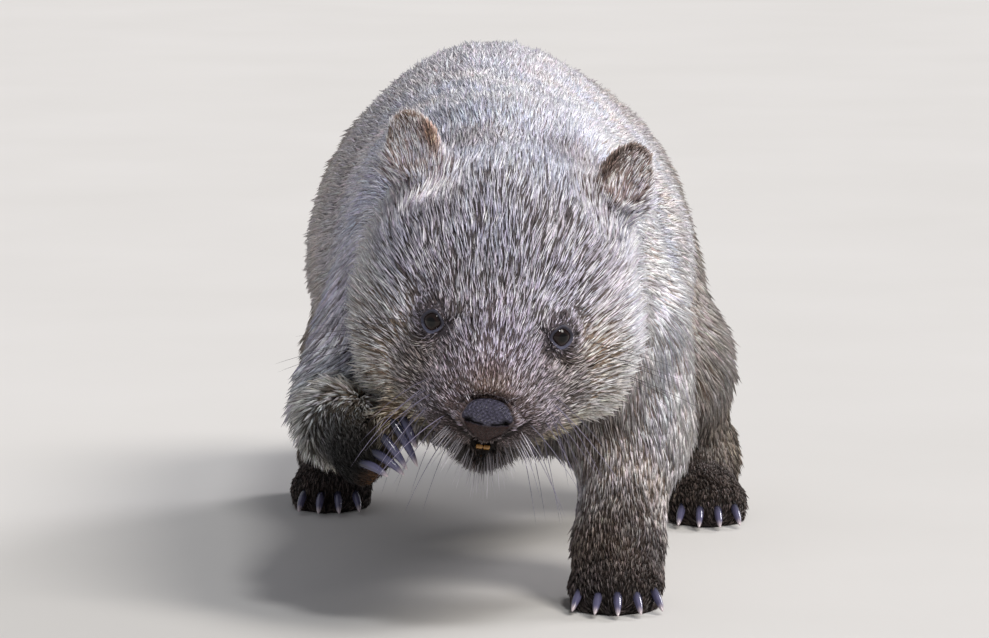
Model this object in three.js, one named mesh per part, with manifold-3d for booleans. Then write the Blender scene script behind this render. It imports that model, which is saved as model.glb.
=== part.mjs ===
// A common wombat at life size, pausing in mid-step with its head low and its right forefoot lifted.
// Millimetres, +Z up. The animal faces -Y and its left side is +X. Every solid reaches to the tips
// of the coat. The whole animal is one soft field of distances, drawn region by region as closed
// faceted solids and parted by thin straight cuts where a person would name its parts.
import * as THREE from 'three';
import Module from 'manifold-3d';

const wasm = await Module();
wasm.setup();

// Driving dimensions
const GAP = 0.3;
const GRAIN = 0.01;
const REACH = 900;
const MIDLINE = 5;
const BACK_HEIGHT = 371;
const BELLY_HEIGHT = 74;
const TRUNK_HALF_WIDTH = 146;
const RUMP_Y = 586;
const BETWEEN_EYES = [2, -150, 214];
const HEAD_PITCH = THREE.MathUtils.degToRad(29.5);
const HEAD_ROLL = THREE.MathUtils.degToRad(7);
const EYE_RADIUS = 9;
const EYE_SPOT = [46, -12, 9];
const EYE_DEPTH = 4.5;
const INCISOR_LENGTH = 16;
const INCISOR_LEAN = THREE.MathUtils.degToRad(139);
const CLAW_LENGTH = 25;
const CLAW_RADIUS = 3.4;
const CLAW_SIDES = 6;
const CLAW_STEPS = 3;
const SETTLE_ROUNDS = 3;
const SLOPE_STEP = 0.05;

const COLOURS = {
  coat: '#6f6763',
  face: '#655c57',
  paw: '#2e2624',
  ear: '#5a4740',
  nose: '#26262c',
  eye: '#1c110d',
  claw: '#6d6a7c',
  tooth: '#b8923c',
};

// Fields of distance: each takes x, y, z and gives how far the point is outside the shape
function ellipsoid([cx, cy, cz], [rx, ry, rz]) {
  return (x, y, z) => {
    const u = (x - cx) / rx;
    const v = (y - cy) / ry;
    const w = (z - cz) / rz;
    const near = Math.hypot(u, v, w);
    const slope = Math.hypot(u / rx, v / ry, w / rz);
    return slope > 0 ? (near * (near - 1)) / slope : -Math.min(rx, ry, rz);
  };
}

// A limb bone's flesh: a straight taper from one round end to another
function taper([ax, ay, az], startRadius, [bx, by, bz], endRadius) {
  const dx = bx - ax;
  const dy = by - ay;
  const dz = bz - az;
  const square = dx * dx + dy * dy + dz * dz;
  return (x, y, z) => {
    const along = ((x - ax) * dx + (y - ay) * dy + (z - az) * dz) / square;
    const t = Math.min(1, Math.max(0, along));
    const away = Math.hypot(x - ax - t * dx, y - ay - t * dy, z - az - t * dz);
    return away - startRadius - t * (endRadius - startRadius);
  };
}

function softMin(a, b, soft) {
  const share = Math.max(soft - Math.abs(a - b), 0) / soft;
  return Math.min(a, b) - share * share * soft * 0.25;
}

function blend(soft, ...fields) {
  return (x, y, z) => {
    let near = fields[0](x, y, z);
    for (let i = 1; i < fields.length; i += 1) {
      near = softMin(near, fields[i](x, y, z), soft);
    }
    return near;
  };
}

function hollow(field, tool, soft) {
  return (x, y, z) => -softMin(-field(x, y, z), tool(x, y, z), soft);
}

// Carries a field that is written in a local frame to its place on the animal
function carried(field, matrix) {
  const back = matrix.clone().invert().elements;
  return (x, y, z) => field(
    back[0] * x + back[4] * y + back[8] * z + back[12],
    back[1] * x + back[5] * y + back[9] * z + back[13],
    back[2] * x + back[6] * y + back[10] * z + back[14],
  );
}

// Draws a field inside a box of cells as a closed net with one point in each cell that it crosses
function surfaceNet(field, low, high, cell) {
  const count = low.map((start, axis) => Math.ceil((high[axis] - start) / cell[axis]) + 1);
  const index = (i, j, k) => (k * count[1] + j) * count[0] + i;
  const values = new Float64Array(count[0] * count[1] * count[2]);
  for (let k = 0; k < count[2]; k += 1) {
    for (let j = 0; j < count[1]; j += 1) {
      for (let i = 0; i < count[0]; i += 1) {
        const edge = i * j * k === 0 || i === count[0] - 1 || j === count[1] - 1 || k === count[2] - 1;
        const value = field(low[0] + i * cell[0], low[1] + j * cell[1], low[2] + k * cell[2]);
        values[index(i, j, k)] = edge ? Math.max(value, 1) : value;
      }
    }
  }
  const corners = [];
  for (let n = 0; n < 8; n += 1) {
    corners.push([n & 1, (n >> 1) & 1, (n >> 2) & 1]);
  }
  const edges = [];
  for (let a = 0; a < 8; a += 1) {
    for (const bit of [1, 2, 4]) {
      if (!(a & bit)) {
        edges.push([a, a | bit]);
      }
    }
  }
  const positions = [];
  const pointOfCell = new Map();
  for (let k = 0; k < count[2] - 1; k += 1) {
    for (let j = 0; j < count[1] - 1; j += 1) {
      for (let i = 0; i < count[0] - 1; i += 1) {
        const sum = [0, 0, 0];
        let crossings = 0;
        for (const [a, b] of edges) {
          const [p, q] = [corners[a], corners[b]];
          const va = values[index(i + p[0], j + p[1], k + p[2])];
          const vb = values[index(i + q[0], j + q[1], k + q[2])];
          if (va < 0 !== vb < 0) {
            const t = va / (va - vb);
            for (let axis = 0; axis < 3; axis += 1) {
              sum[axis] += p[axis] + t * (q[axis] - p[axis]);
            }
            crossings += 1;
          }
        }
        if (crossings > 0) {
          pointOfCell.set(index(i, j, k), positions.length / 3);
          positions.push(
            low[0] + (i + sum[0] / crossings) * cell[0],
            low[1] + (j + sum[1] / crossings) * cell[1],
            low[2] + (k + sum[2] / crossings) * cell[2],
          );
        }
      }
    }
  }
  const triangles = [];
  const step = [index(1, 0, 0), index(0, 1, 0), index(0, 0, 1)];
  for (let k = 0; k < count[2] - 1; k += 1) {
    for (let j = 0; j < count[1] - 1; j += 1) {
      for (let i = 0; i < count[0] - 1; i += 1) {
        const here = index(i, j, k);
        for (let axis = 0; axis < 3; axis += 1) {
          const inside = values[here] < 0;
          if (inside !== values[here + step[axis]] < 0) {
            const side = step[(axis + 1) % 3];
            const up = step[(axis + 2) % 3];
            const ring = [here - side - up, here - up, here, here - side].map((c) => pointOfCell.get(c));
            if (!inside) {
              ring.reverse();
            }
            triangles.push(ring[0], ring[1], ring[2], ring[0], ring[2], ring[3]);
          }
        }
      }
    }
  }
  settle(positions, triangles, field, Math.min(...cell));
  return solidOf(positions, triangles);
}

// Evens out the points of a net and sets those near the surface exactly on it
function settle(positions, triangles, field, cell) {
  const count = positions.length / 3;
  const neighbours = Array.from({ length: count }, () => new Set());
  for (let n = 0; n < triangles.length; n += 3) {
    for (const [from, to] of [[0, 1], [1, 2], [2, 0]]) {
      neighbours[triangles[n + from]].add(triangles[n + to]);
      neighbours[triangles[n + to]].add(triangles[n + from]);
    }
  }
  const near = (n) => Math.abs(field(...positions.slice(3 * n, 3 * n + 3))) < cell * 0.3;
  const loose = [...Array(count).keys()].filter(near);
  for (let round = 0; round < SETTLE_ROUNDS; round += 1) {
    const moved = loose.map((n) => {
      const place = [0, 0, 0];
      for (const other of neighbours[n]) {
        for (let axis = 0; axis < 3; axis += 1) {
          place[axis] += positions[3 * other + axis] / neighbours[n].size;
        }
      }
      return onSurface(field, place.map((part, axis) => (part + positions[3 * n + axis]) / 2));
    });
    loose.forEach((n, order) => {
      for (let axis = 0; axis < 3; axis += 1) {
        positions[3 * n + axis] = moved[order][axis];
      }
    });
  }
}

function slopeAt(field, [x, y, z]) {
  const here = field(x, y, z);
  return [
    field(x + SLOPE_STEP, y, z) - here,
    field(x, y + SLOPE_STEP, z) - here,
    field(x, y, z + SLOPE_STEP) - here,
  ].map((rise) => rise / SLOPE_STEP);
}

function onSurface(field, place) {
  const here = field(...place);
  const slope = slopeAt(field, place);
  const square = slope[0] ** 2 + slope[1] ** 2 + slope[2] ** 2;
  return place.map((part, axis) => part - (here * slope[axis]) / Math.max(square, 0.1));
}

function solidOf(positions, triangles) {
  const vertProperties = new Float32Array(positions);
  const triVerts = new Uint32Array(triangles);
  return new wasm.Manifold(new wasm.Mesh({ numProp: 3, vertProperties, triVerts }));
}

// Parting: a plane is a point and the direction of the side that is kept, short of it by half the gap
function keep(solid, planes, inset = GAP / 2) {
  let kept = solid;
  for (const [point, direction] of planes) {
    const normal = new THREE.Vector3(...direction).normalize();
    kept = kept.trimByPlane(normal.toArray(), normal.dot(new THREE.Vector3(...point)) + inset);
  }
  return kept;
}

function facing([point, direction]) {
  return [point, direction.map((part) => -part)];
}

// What is left of a solid round a piece that the planes part from it
function without(solid, planes) {
  const box = new THREE.BoxGeometry(2 * REACH, 2 * REACH, 2 * REACH);
  box.deleteAttribute('normal');
  box.deleteAttribute('uv');
  return solid.subtract(keep(solidFromGeometry(box), planes, -GAP / 2));
}

// Makes a solid of a geometry, with points that lie within a grain of each other merged
function solidFromGeometry(geometry) {
  const source = geometry.attributes.position;
  const seen = new Map();
  const positions = [];
  const renumbered = [];
  for (let n = 0; n < source.count; n += 1) {
    const place = [source.getX(n), source.getY(n), source.getZ(n)].map((part) => Math.round(part / GRAIN));
    const key = place.join(' ');
    if (!seen.has(key)) {
      seen.set(key, positions.length / 3);
      positions.push(...place.map((part) => part * GRAIN));
    }
    renumbered.push(seen.get(key));
  }
  const order = geometry.index ? Array.from(geometry.index.array) : renumbered.map((_, n) => n);
  const triangles = [];
  for (let n = 0; n < order.length; n += 3) {
    const [a, b, c] = [0, 1, 2].map((corner) => renumbered[order[n + corner]]);
    if (a !== b && b !== c && c !== a) {
      triangles.push(a, b, c);
    }
  }
  return solidOf(positions, triangles);
}

function geometryOf(solid) {
  const mesh = solid.getMesh();
  const geometry = new THREE.BufferGeometry();
  geometry.setAttribute('position', new THREE.BufferAttribute(new Float32Array(mesh.vertProperties), 3));
  geometry.setIndex(new THREE.BufferAttribute(new Uint32Array(mesh.triVerts), 1));
  geometry.computeVertexNormals();
  return geometry;
}

function biggest(solid) {
  const bodies = solid.decompose();
  return bodies.reduce((best, body) => (body.volume() > best.volume() ? body : best));
}

const wombat = new THREE.Group();

function add(name, solid, colour, roughness = 0.9) {
  const geometry = geometryOf(solidFromGeometry(geometryOf(biggest(solid))));
  const material = new THREE.MeshStandardMaterial({ color: colour, roughness, metalness: 0 });
  const piece = new THREE.Mesh(geometry, material);
  piece.name = name;
  wombat.add(piece);
}

// Grows a copy of a solid by the gap, to cut the hollow that it sits in
function grown(solid, by = GAP) {
  const geometry = geometryOf(solid);
  const normals = geometry.attributes.normal.array;
  const moved = Array.from(geometry.attributes.position.array, (part, n) => part + by * normals[n]);
  return solidOf(moved, geometry.index.array);
}

// The trunk: breast, shoulders, barrel and rump, wider low down than along the back
const trunkMiddle = (BACK_HEIGHT + BELLY_HEIGHT) / 2;
const trunkHalfDepth = (BACK_HEIGHT - BELLY_HEIGHT) / 2;
const trunk = blend(
  40,
  ellipsoid([MIDLINE, 54, 184], [106, 108, 92]),
  ellipsoid([MIDLINE, 78, 242], [110, 150, 112]),
  ellipsoid([MIDLINE, 285, trunkMiddle - 18], [TRUNK_HALF_WIDTH, 215, trunkHalfDepth - 21]),
  ellipsoid([MIDLINE - 8, 270, trunkMiddle + 21], [106, 270, trunkHalfDepth - 21]),
  ellipsoid([MIDLINE, RUMP_Y - 150, trunkMiddle - 12], [TRUNK_HALF_WIDTH - 2, 150, 130]),
);

// The head in its own frame: the origin is midway between the eyes, -Y runs to the nose
const headMatrix = new THREE.Matrix4().compose(
  new THREE.Vector3(...BETWEEN_EYES),
  new THREE.Quaternion().setFromEuler(new THREE.Euler(HEAD_PITCH, HEAD_ROLL, 0, 'YXZ')),
  new THREE.Vector3(1, 1, 1),
);

function onHead([x, y, z]) {
  return new THREE.Vector3(x, y, z).applyMatrix4(headMatrix).toArray();
}

function headCutPlane(point, [x, y, z]) {
  return [onHead(point), new THREE.Vector3(x, y, z).transformDirection(headMatrix).toArray()];
}

const bothSides = (make) => [make(-1), make(1)];

const snout = blend(
  14,
  taper([0, 0, -4], 34, [0, -60, -14], 24),
  ellipsoid([0, -40, -28], [43, 44, 32]),
  ...bothSides((side) => ellipsoid([side * 20, -60, -32], [22, 21, 16])),
);
const skull = blend(
  22,
  ellipsoid([0, 74, -1], [87, 74, 59]),
  ellipsoid([0, 12, -8], [53, 60, 43]),
  ...bothSides((side) => ellipsoid([side * 52, 48, -38], [49, 58, 48])),
  ...bothSides((side) => ellipsoid([side * 34, -8, -42], [33, 42, 34])),
  taper([0, -48, -66], 21, [0, 30, -64], 40),
);
const lipGroove = ellipsoid([0, -74, -45], [32, 26, 2.5]);
const headField = hollow(blend(16, skull, snout), lipGroove, 8);

const neck = taper([MIDLINE, 12, 252], 94, onHead([0, 84, -8]), 80);
const torso = blend(34, trunk, neck);
const body = blend(30, torso, carried(headField, headMatrix));

// Straight cuts across the body: a point on the cut and the direction towards the head
const headCut = [[0, -66, 250], [0, -1, -0.14]];
const neckCut = [[0, -56, 160], [0, -0.947, 0.32]];
const bellyCut = [[0, 165, 230], [0, -1, 0]];
const rumpCut = [[0, 372, 230], [0, -1, 0]];
const FLOOR = [[0, 0, 0], [0, 0, 1]];
const jawCut = headCutPlane([0, -60, -46], [0, -0.1, -1]);
const throatCut = headCutPlane([0, 12, -60], [0, -1, -0.25]);

// Each limb: its flesh from the trunk outwards, the cuts that part it from the trunk, its two
// joint cuts facing the foot, and its claws from root to tip
const limbs = {
  left_fore: {
    flesh: [
      taper([92, 44, 185], 52, [97, 50, 118], 43),
      taper([97, 50, 118], 41, [88, -6, 44], 29),
      taper([88, -6, 38], 28, [86, -30, 18], 23),
      ellipsoid([86, -46, 11], [35, 33, 18]),
    ],
    root: [
      [[92, 40, 152], [0.3, 0, -1]],
      [[38, 0, 0], [1, 0, 0]],
      [[0, 125, 0], [0, -1, 0]],
      facing(neckCut),
    ],
    joints: [[[94, 34, 100], [-0.05, -0.5, -0.86]], [[87, -8, 44], [0, -0.45, -0.89]]],
    claws: standingClaws([86, -70, 10], 5, 12.5, 0.16),
  },
  right_fore: {
    flesh: [
      taper([-78, 48, 190], 50, [-98, -2, 142], 40),
      taper([-98, -6, 140], 40, [-104, -92, 140], 25),
      taper([-104, -92, 136], 23, [-92, -122, 128], 15),
      taper([-91, -135, 115], 14, [-73, -138, 142], 13),
    ],
    root: [[[-90, 14, 165], [-0.6, -0.62, -0.5]], [[-64, 0, 0], [-1, 0, 0]]],
    joints: [[[-98, -26, 138], [0, -1, 0]], [[-100, -110, 136], [0.75, -0.65, -0.1]]],
    claws: [
      [[-89, -151, 119], [-72, -161, 112]],
      [[-81, -152, 126], [-61, -162, 113]],
      [[-76, -152, 137], [-59, -163, 117]],
      [[-67, -152, 144], [-52, -163, 119]],
      [[-62, -149, 149], [-53, -163, 132]],
    ],
  },
  left_hind: hindLimb(1, [162, 332]),
  right_hind: hindLimb(-1, [126, 396]),
};

// The toes of a standing foot fan out from its middle toe
function standingClaws([x, y, z], count, spacing, spread) {
  return Array.from({ length: count }, (_, n) => {
    const place = n - (count - 1) / 2;
    const angle = place * spread;
    const root = [x + place * spacing, y + 3.5 * place * place, z + 4];
    const reach = CLAW_LENGTH - 2 * Math.abs(place);
    return [root, [root[0] + reach * Math.sin(angle), root[1] - reach * Math.cos(angle), CLAW_RADIUS]];
  });
}

function hindLimb(side, [footX, footY]) {
  const place = (x, y, z) => [side * x, y, z];
  return {
    flesh: [
      taper(place(footX - 80, footY + 84, 190), 68, place(footX - 32, footY + 26, 120), 52),
      taper(place(footX - 32, footY + 26, 116), 44, place(footX - 3, footY + 66, 52), 29),
      taper(place(footX - 3, footY + 66, 30), 26, place(footX, footY + 12, 16), 24),
      ellipsoid(place(footX + 1, footY - 6, 11), [31, 34, 17]),
    ],
    root: [
      [place(footX - 48, footY + 50, 160), place(0.75, 0, -0.66)],
      [place(footX - 76, 0, 0), place(1, 0, 0)],
      [place(0, footY - 64, 0), [0, 1, 0]],
    ],
    joints: [
      [place(footX - 20, footY + 40, 104), place(0.2, 0.3, -0.93)],
      [place(footX - 2, footY + 62, 50), [0, -0.2, -1]],
    ],
    claws: standingClaws([side * (footX + 1), footY - 32, 9], 4, 13, 0.12),
  };
}

// A claw is a curved horn, thickest at its root, that bulges away from the ground
function claw([root, tip]) {
  const start = new THREE.Vector3(...root);
  const end = new THREE.Vector3(...tip);
  const along = end.clone().sub(start);
  const inward = start.clone().addScaledVector(along, -0.2);
  const middle = start.clone().addScaledVector(along, 0.5).add(new THREE.Vector3(0, 0, 0.16 * along.length()));
  const path = new THREE.QuadraticBezierCurve3(inward, middle, end);
  const positions = [];
  for (let step = 0; step < CLAW_STEPS; step += 1) {
    const t = step / CLAW_STEPS;
    const tangent = path.getTangent(t);
    const across = new THREE.Vector3().crossVectors(tangent, new THREE.Vector3(0, 0, 1)).normalize();
    const up = new THREE.Vector3().crossVectors(across, tangent);
    const radius = CLAW_RADIUS * (1 - 0.75 * t * t);
    for (let corner = 0; corner < CLAW_SIDES; corner += 1) {
      const angle = (corner / CLAW_SIDES) * 2 * Math.PI;
      const place = path.getPoint(t);
      place.addScaledVector(across, 0.8 * radius * Math.cos(angle));
      place.addScaledVector(up, radius * Math.sin(angle));
      positions.push(...place.toArray());
    }
  }
  const tipPoint = positions.length / 3;
  positions.push(...end.toArray(), ...inward.toArray());
  const triangles = [];
  const last = (CLAW_STEPS - 1) * CLAW_SIDES;
  for (let corner = 0; corner < CLAW_SIDES; corner += 1) {
    const next = (corner + 1) % CLAW_SIDES;
    for (let ring = 0; ring < last; ring += CLAW_SIDES) {
      const [a, b] = [ring + corner, ring + next];
      triangles.push(a, b + CLAW_SIDES, b, a, a + CLAW_SIDES, b + CLAW_SIDES);
    }
    triangles.push(last + corner, tipPoint, last + next, tipPoint + 1, corner, next);
  }
  return solidOf(positions, triangles);
}

// The head and its loose parts: eyes, ears, nose leather, jaw and incisors
const HEAD_BOX = [[-130, -275, 95], [136, 60, 375]];
const headNet = surfaceNet(body, ...HEAD_BOX, [14.5, 14.5, 14.5]);
let head = keep(headNet, [headCut, neckCut]);

function inHeadFrame(field, low, high, cell) {
  const net = surfaceNet(field, low, high, cell);
  return net.transform(headMatrix.elements);
}

const nose = inHeadFrame(
  bothSides((side) => ellipsoid([side * 11, -94, -21], [6, 5, 4])).reduce(
    (field, nostril) => hollow(field, nostril, 2),
    ellipsoid([0, -79, -17], [19, 14, 17]),
  ),
  [-26, -99, -38],
  [26, -60, 8],
  [7.5, 7, 7.5],
);
head = head.subtract(grown(nose));
add('nose', nose, COLOURS.nose, 0.5);

// The lower incisors are two blunt chisels side by side, joined where they touch
const [leftIncisor, rightIncisor] = bothSides((side) => {
  const chisel = new THREE.CylinderGeometry(2.4, 3.2, INCISOR_LENGTH, 8);
  chisel.rotateX(INCISOR_LEAN);
  chisel.translate(side * 2.5, -68, -52);
  return solidFromGeometry(chisel).transform(headMatrix.elements);
});
const incisors = leftIncisor.add(rightIncisor);
head = head.subtract(grown(incisors));
add('lower_incisors', incisors, COLOURS.tooth, 0.3);

const sides = { left: 1, right: -1 };
for (const [name, side] of Object.entries(sides)) {
  const spot = onSurface(headField, [side * EYE_SPOT[0], EYE_SPOT[1], EYE_SPOT[2]]);
  const outward = new THREE.Vector3(...slopeAt(headField, spot)).normalize();
  const centre = new THREE.Vector3(...spot).addScaledVector(outward, -EYE_DEPTH);
  const ball = new THREE.SphereGeometry(EYE_RADIUS, 12, 8);
  ball.translate(...onHead(centre.toArray()));
  const eye = solidFromGeometry(ball);
  head = head.subtract(grown(eye));
  add(`${name}_eye`, eye, COLOURS.eye, 0.1);
}

for (const [name, side] of Object.entries(sides)) {
  const earMatrix = new THREE.Matrix4().compose(
    new THREE.Vector3(side * 67 + 2, 90, 43 - side * 2.3),
    new THREE.Quaternion().setFromEuler(new THREE.Euler(-0.15, side * 0.3, side * 0.3, 'ZYX')),
    new THREE.Vector3(1, 1, 1),
  );
  const bowl = ellipsoid([0, -12, 30], [15, 10, 19]);
  const earField = hollow(ellipsoid([0, 0, 26], [22, 12, 29]), bowl, 4);
  const net = surfaceNet(earField, [-28, -20, -12], [28, 20, 62], [9.5, 8, 9.5]);
  const ear = net.transform(earMatrix.elements).transform(headMatrix.elements);
  add(`${name}_ear`, ear.subtract(grown(head)), COLOURS.ear);
}

add('lower_jaw', keep(head, [jawCut, throatCut]), COLOURS.face);
add('head', without(head, [jawCut, throatCut]), COLOURS.face);

let trunkNet = surfaceNet(blend(26, body, ...Object.values(limbs).flatMap((limb) => limb.flesh)),
  [-220, -190, 0], [220, 620, 410], [31, 48, 31]);
let neckNet = keep(headNet, [neckCut, facing(headCut)]);
for (const limb of Object.values(limbs)) {
  trunkNet = without(trunkNet, limb.root);
  neckNet = without(neckNet, limb.root);
}
add('neck', neckNet, COLOURS.coat);
add('shoulders', keep(trunkNet, [facing(neckCut), bellyCut]), COLOURS.coat);
add('belly', keep(trunkNet, [facing(bellyCut), rumpCut]), COLOURS.coat);
const rump = keep(trunkNet, [facing(rumpCut)]);
add('rump', rump, COLOURS.coat);

const tailField = taper([MIDLINE, RUMP_Y - 22, 236], 14, [MIDLINE, RUMP_Y + 6, 212], 9);
const tail = surfaceNet(tailField, [-20, 545, 195], [30, 610, 260], [8, 8, 8]);
add('tail', tail.subtract(grown(rump)), COLOURS.coat);

for (const [name, limb] of Object.entries(limbs)) {
  const field = blend(26, name === 'right_fore' ? torso : body, ...limb.flesh);
  const side = name.startsWith('left') ? 1 : -1;
  const fore = name.endsWith('fore');
  const box = fore ? [[25, -190, -10], [170, 140, 290]] : [[40, 250, -10], [215, 610, 290]];
  const start = [side > 0 ? box[0][0] : -box[1][0], box[0][1], box[0][2]];
  const end = [side > 0 ? box[1][0] : -box[0][0], box[1][1], box[1][2]];
  const [coarse, fine] = [24, 16.5].map((cell) => {
    const net = keep(surfaceNet(field, start, end, [cell, cell, cell]), [FLOOR], 0);
    return keep(net, limb.root).subtract(grown(head));
  });
  const names = fore ? ['upper_arm', 'forearm', 'forefoot'] : ['thigh', 'shank', 'hind_foot'];
  const sideName = side > 0 ? 'left' : 'right';
  const [first, second] = limb.joints;
  add(`${sideName}_${names[0]}`, keep(coarse, [facing(first)]), COLOURS.coat);
  add(`${sideName}_${names[1]}`, keep(coarse, [first, facing(second)]), COLOURS.coat);
  let foot = keep(fine, [first, second]);
  limb.claws.forEach((ends, n) => {
    const horn = claw(ends);
    foot = foot.subtract(grown(horn));
    add(`${sideName}_${names[2]}_claw_${n + 1}`, horn, COLOURS.claw, 0.35);
  });
  add(`${sideName}_${names[2]}`, foot, COLOURS.paw);
}

// The origin lies on the floor under the middle of the animal
const middle = new THREE.Box3().setFromObject(wombat).getCenter(new THREE.Vector3());
wombat.position.set(-middle.x, -middle.y, 0);

export default wombat;
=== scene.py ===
# A common wombat at life size, finished as a museum shows one: a single skin over the whole body,
# a coat of solid locks that follows the lie of the hair, and separate eyes, nose pad, claws, teeth
# and whiskers. The animal faces -Y, its left side is +X, and it stands on the floor at Z = 0.
import math

import bpy
import numpy as np
from mathutils import Matrix, Vector


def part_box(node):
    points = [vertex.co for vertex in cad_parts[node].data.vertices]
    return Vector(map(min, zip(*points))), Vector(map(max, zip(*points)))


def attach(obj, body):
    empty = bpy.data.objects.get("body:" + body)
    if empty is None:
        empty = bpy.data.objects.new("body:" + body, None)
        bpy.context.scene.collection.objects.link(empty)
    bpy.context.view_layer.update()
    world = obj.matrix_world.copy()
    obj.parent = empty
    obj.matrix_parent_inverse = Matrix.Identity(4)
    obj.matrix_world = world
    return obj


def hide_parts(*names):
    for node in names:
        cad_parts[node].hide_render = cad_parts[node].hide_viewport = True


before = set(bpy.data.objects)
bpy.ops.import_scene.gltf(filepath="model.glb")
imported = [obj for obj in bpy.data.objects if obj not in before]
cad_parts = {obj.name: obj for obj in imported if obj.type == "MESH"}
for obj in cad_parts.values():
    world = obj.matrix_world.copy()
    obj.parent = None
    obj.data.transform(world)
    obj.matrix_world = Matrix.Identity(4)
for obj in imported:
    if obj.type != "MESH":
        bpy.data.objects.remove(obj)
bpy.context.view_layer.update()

MM = 0.001
rng = np.random.default_rng(27)

# Places in the row frame, in metres
MIDLINE = -0.013
SOLE_HEIGHT = 0.0002
FOREARM = np.array((-0.132, -0.215, 0.150))
PALM = np.array((-0.096, -0.334, 0.104))
PAW_MIDDLE = np.array((-0.097, -0.320, 0.128))

# The head's own frame, in millimetres: origin midway between the eyes' corners, -Y runs to the nose
HEAD_PITCH = math.radians(29.5)
HEAD_ROLL = math.radians(7.0)
HEAD_TURN = Matrix.Rotation(HEAD_ROLL, 3, "Y") @ Matrix.Rotation(HEAD_PITCH, 3, "X")
EYES_MIDDLE_ON_HEAD = Vector((0.0, -10.0, 5.9))
EYES = {side: sum(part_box(f"{side}_eye"), Vector()) / 2 for side in ("left", "right")}
HEAD_ORIGIN = (EYES["left"] + EYES["right"]) / 2 - HEAD_TURN @ EYES_MIDDLE_ON_HEAD * MM


def on_head(place):
    """The row-frame place of one place on the head."""
    return HEAD_ORIGIN + HEAD_TURN @ Vector(place) * MM


def to_head(points):
    """Row-frame metres to head-frame millimetres, for an array of points."""
    return (points - np.array(HEAD_ORIGIN)) @ np.array(HEAD_TURN) / MM


def from_head(points):
    """Head-frame millimetres to row-frame metres, for an array of points."""
    return points * MM @ np.array(HEAD_TURN).T + np.array(HEAD_ORIGIN)


# Colour and nodes
def linear(hex_colour):
    """An sRGB hex colour as linear red, green and blue."""
    parts = [int(hex_colour[i : i + 2], 16) / 255 for i in (1, 3, 5)]
    return [p / 12.92 if p <= 0.04045 else ((p + 0.055) / 1.055) ** 2.4 for p in parts]


def add_node(tree, kind, settings=None, **links):
    """Adds a node with its settings, and links or sets its inputs by name."""
    node = tree.nodes.new(kind)
    for name, value in (settings or {}).items():
        setattr(node, name, value)
    for name, value in links.items():
        socket = node.inputs[name.replace("_", " ")]
        if isinstance(value, bpy.types.NodeSocket):
            tree.links.new(value, socket)
        else:
            socket.default_value = value
    return node


def scale_for(size):
    """A pattern's scale from its grain in millimetres, for coordinates in metres."""
    return 1 / (size * MM)


def new_material(name, roughness, **surface):
    """A material with a principled shader and fixed values on its own sockets."""
    material = bpy.data.materials.new(name)
    material.use_nodes = True
    tree = material.node_tree
    shader = tree.nodes["Principled BSDF"]
    shader.inputs["Roughness"].default_value = roughness
    for key, value in surface.items():
        shader.inputs[key.replace("_", " ")].default_value = value
    return material, tree, shader


def painted_material(name, roughness, **surface):
    """A material that shows the colours painted on its piece's points."""
    material, tree, shader = new_material(name, roughness, **surface)
    colour = add_node(tree, "ShaderNodeVertexColor", {"layer_name": "coat_colour"})
    tree.links.new(colour.outputs["Color"], shader.inputs["Base Color"])
    return material, tree, shader


# Selection, joining and modifiers
def only(piece):
    bpy.ops.object.select_all(action="DESELECT")
    piece.select_set(True)
    bpy.context.view_layer.objects.active = piece


def join_pieces(pieces, name):
    """Joins pieces into the first of them."""
    only(pieces[0])
    for piece in pieces:
        piece.select_set(True)
    bpy.ops.object.join()
    pieces[0].name = name
    return pieces[0]


def add_ball(segments, rings, radius=1.0):
    """A ball, alone selected, for a piece to be shaped from."""
    bpy.ops.object.select_all(action="DESELECT")
    bpy.ops.mesh.primitive_uv_sphere_add(segments=segments, ring_count=rings, radius=radius)
    return bpy.context.object


def set_down(piece, matrix):
    """Puts a new piece at its place, and takes that place into its mesh."""
    only(piece)
    piece.matrix_world = matrix
    bpy.ops.object.transform_apply()


def finish_modifier(piece, kind, **settings):
    only(piece)
    modifier = piece.modifiers.new(kind.lower(), kind)
    for key, value in settings.items():
        setattr(modifier, key, value)
    bpy.ops.object.modifier_apply(modifier=modifier.name)


def points_of(piece):
    places = np.empty(len(piece.data.vertices) * 3)
    piece.data.vertices.foreach_get("co", places)
    return places.reshape(-1, 3)


def normals_of(piece):
    normals = np.empty(len(piece.data.vertices) * 3, np.float32)
    piece.data.vertex_normals.foreach_get("vector", normals)
    return normals.reshape(-1, 3).astype(float)


def move_points(piece, places):
    piece.data.vertices.foreach_set("co", places.astype(np.float32).ravel())
    piece.data.update()


def shade_smooth(piece):
    piece.data.polygons.foreach_set("use_smooth", np.ones(len(piece.data.polygons), bool))


def place_mesh(mesh):
    """A new object in the scene with a finished mesh."""
    piece = bpy.data.objects.new(mesh.name, mesh)
    bpy.context.scene.collection.objects.link(piece)
    return piece


def copy_of(nodes, name):
    """One new object of merged copies of CAD nodes."""
    bpy.ops.object.select_all(action="DESELECT")
    copies = []
    for node in nodes:
        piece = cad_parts[node].copy()
        piece.data = piece.data.copy()
        piece.parent = None
        for key in list(piece.keys()):
            del piece[key]
        bpy.context.scene.collection.objects.link(piece)
        piece.select_set(True)
        copies.append(piece)
    bpy.context.view_layer.objects.active = copies[0]
    bpy.ops.object.mode_set(mode="EDIT")
    bpy.ops.mesh.select_all(action="SELECT")
    bpy.ops.mesh.remove_doubles(threshold=0.00001)
    bpy.ops.object.mode_set(mode="OBJECT")
    made = join_pieces(copies, name)
    made.data.name = name
    made.data.materials.clear()
    return made


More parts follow.
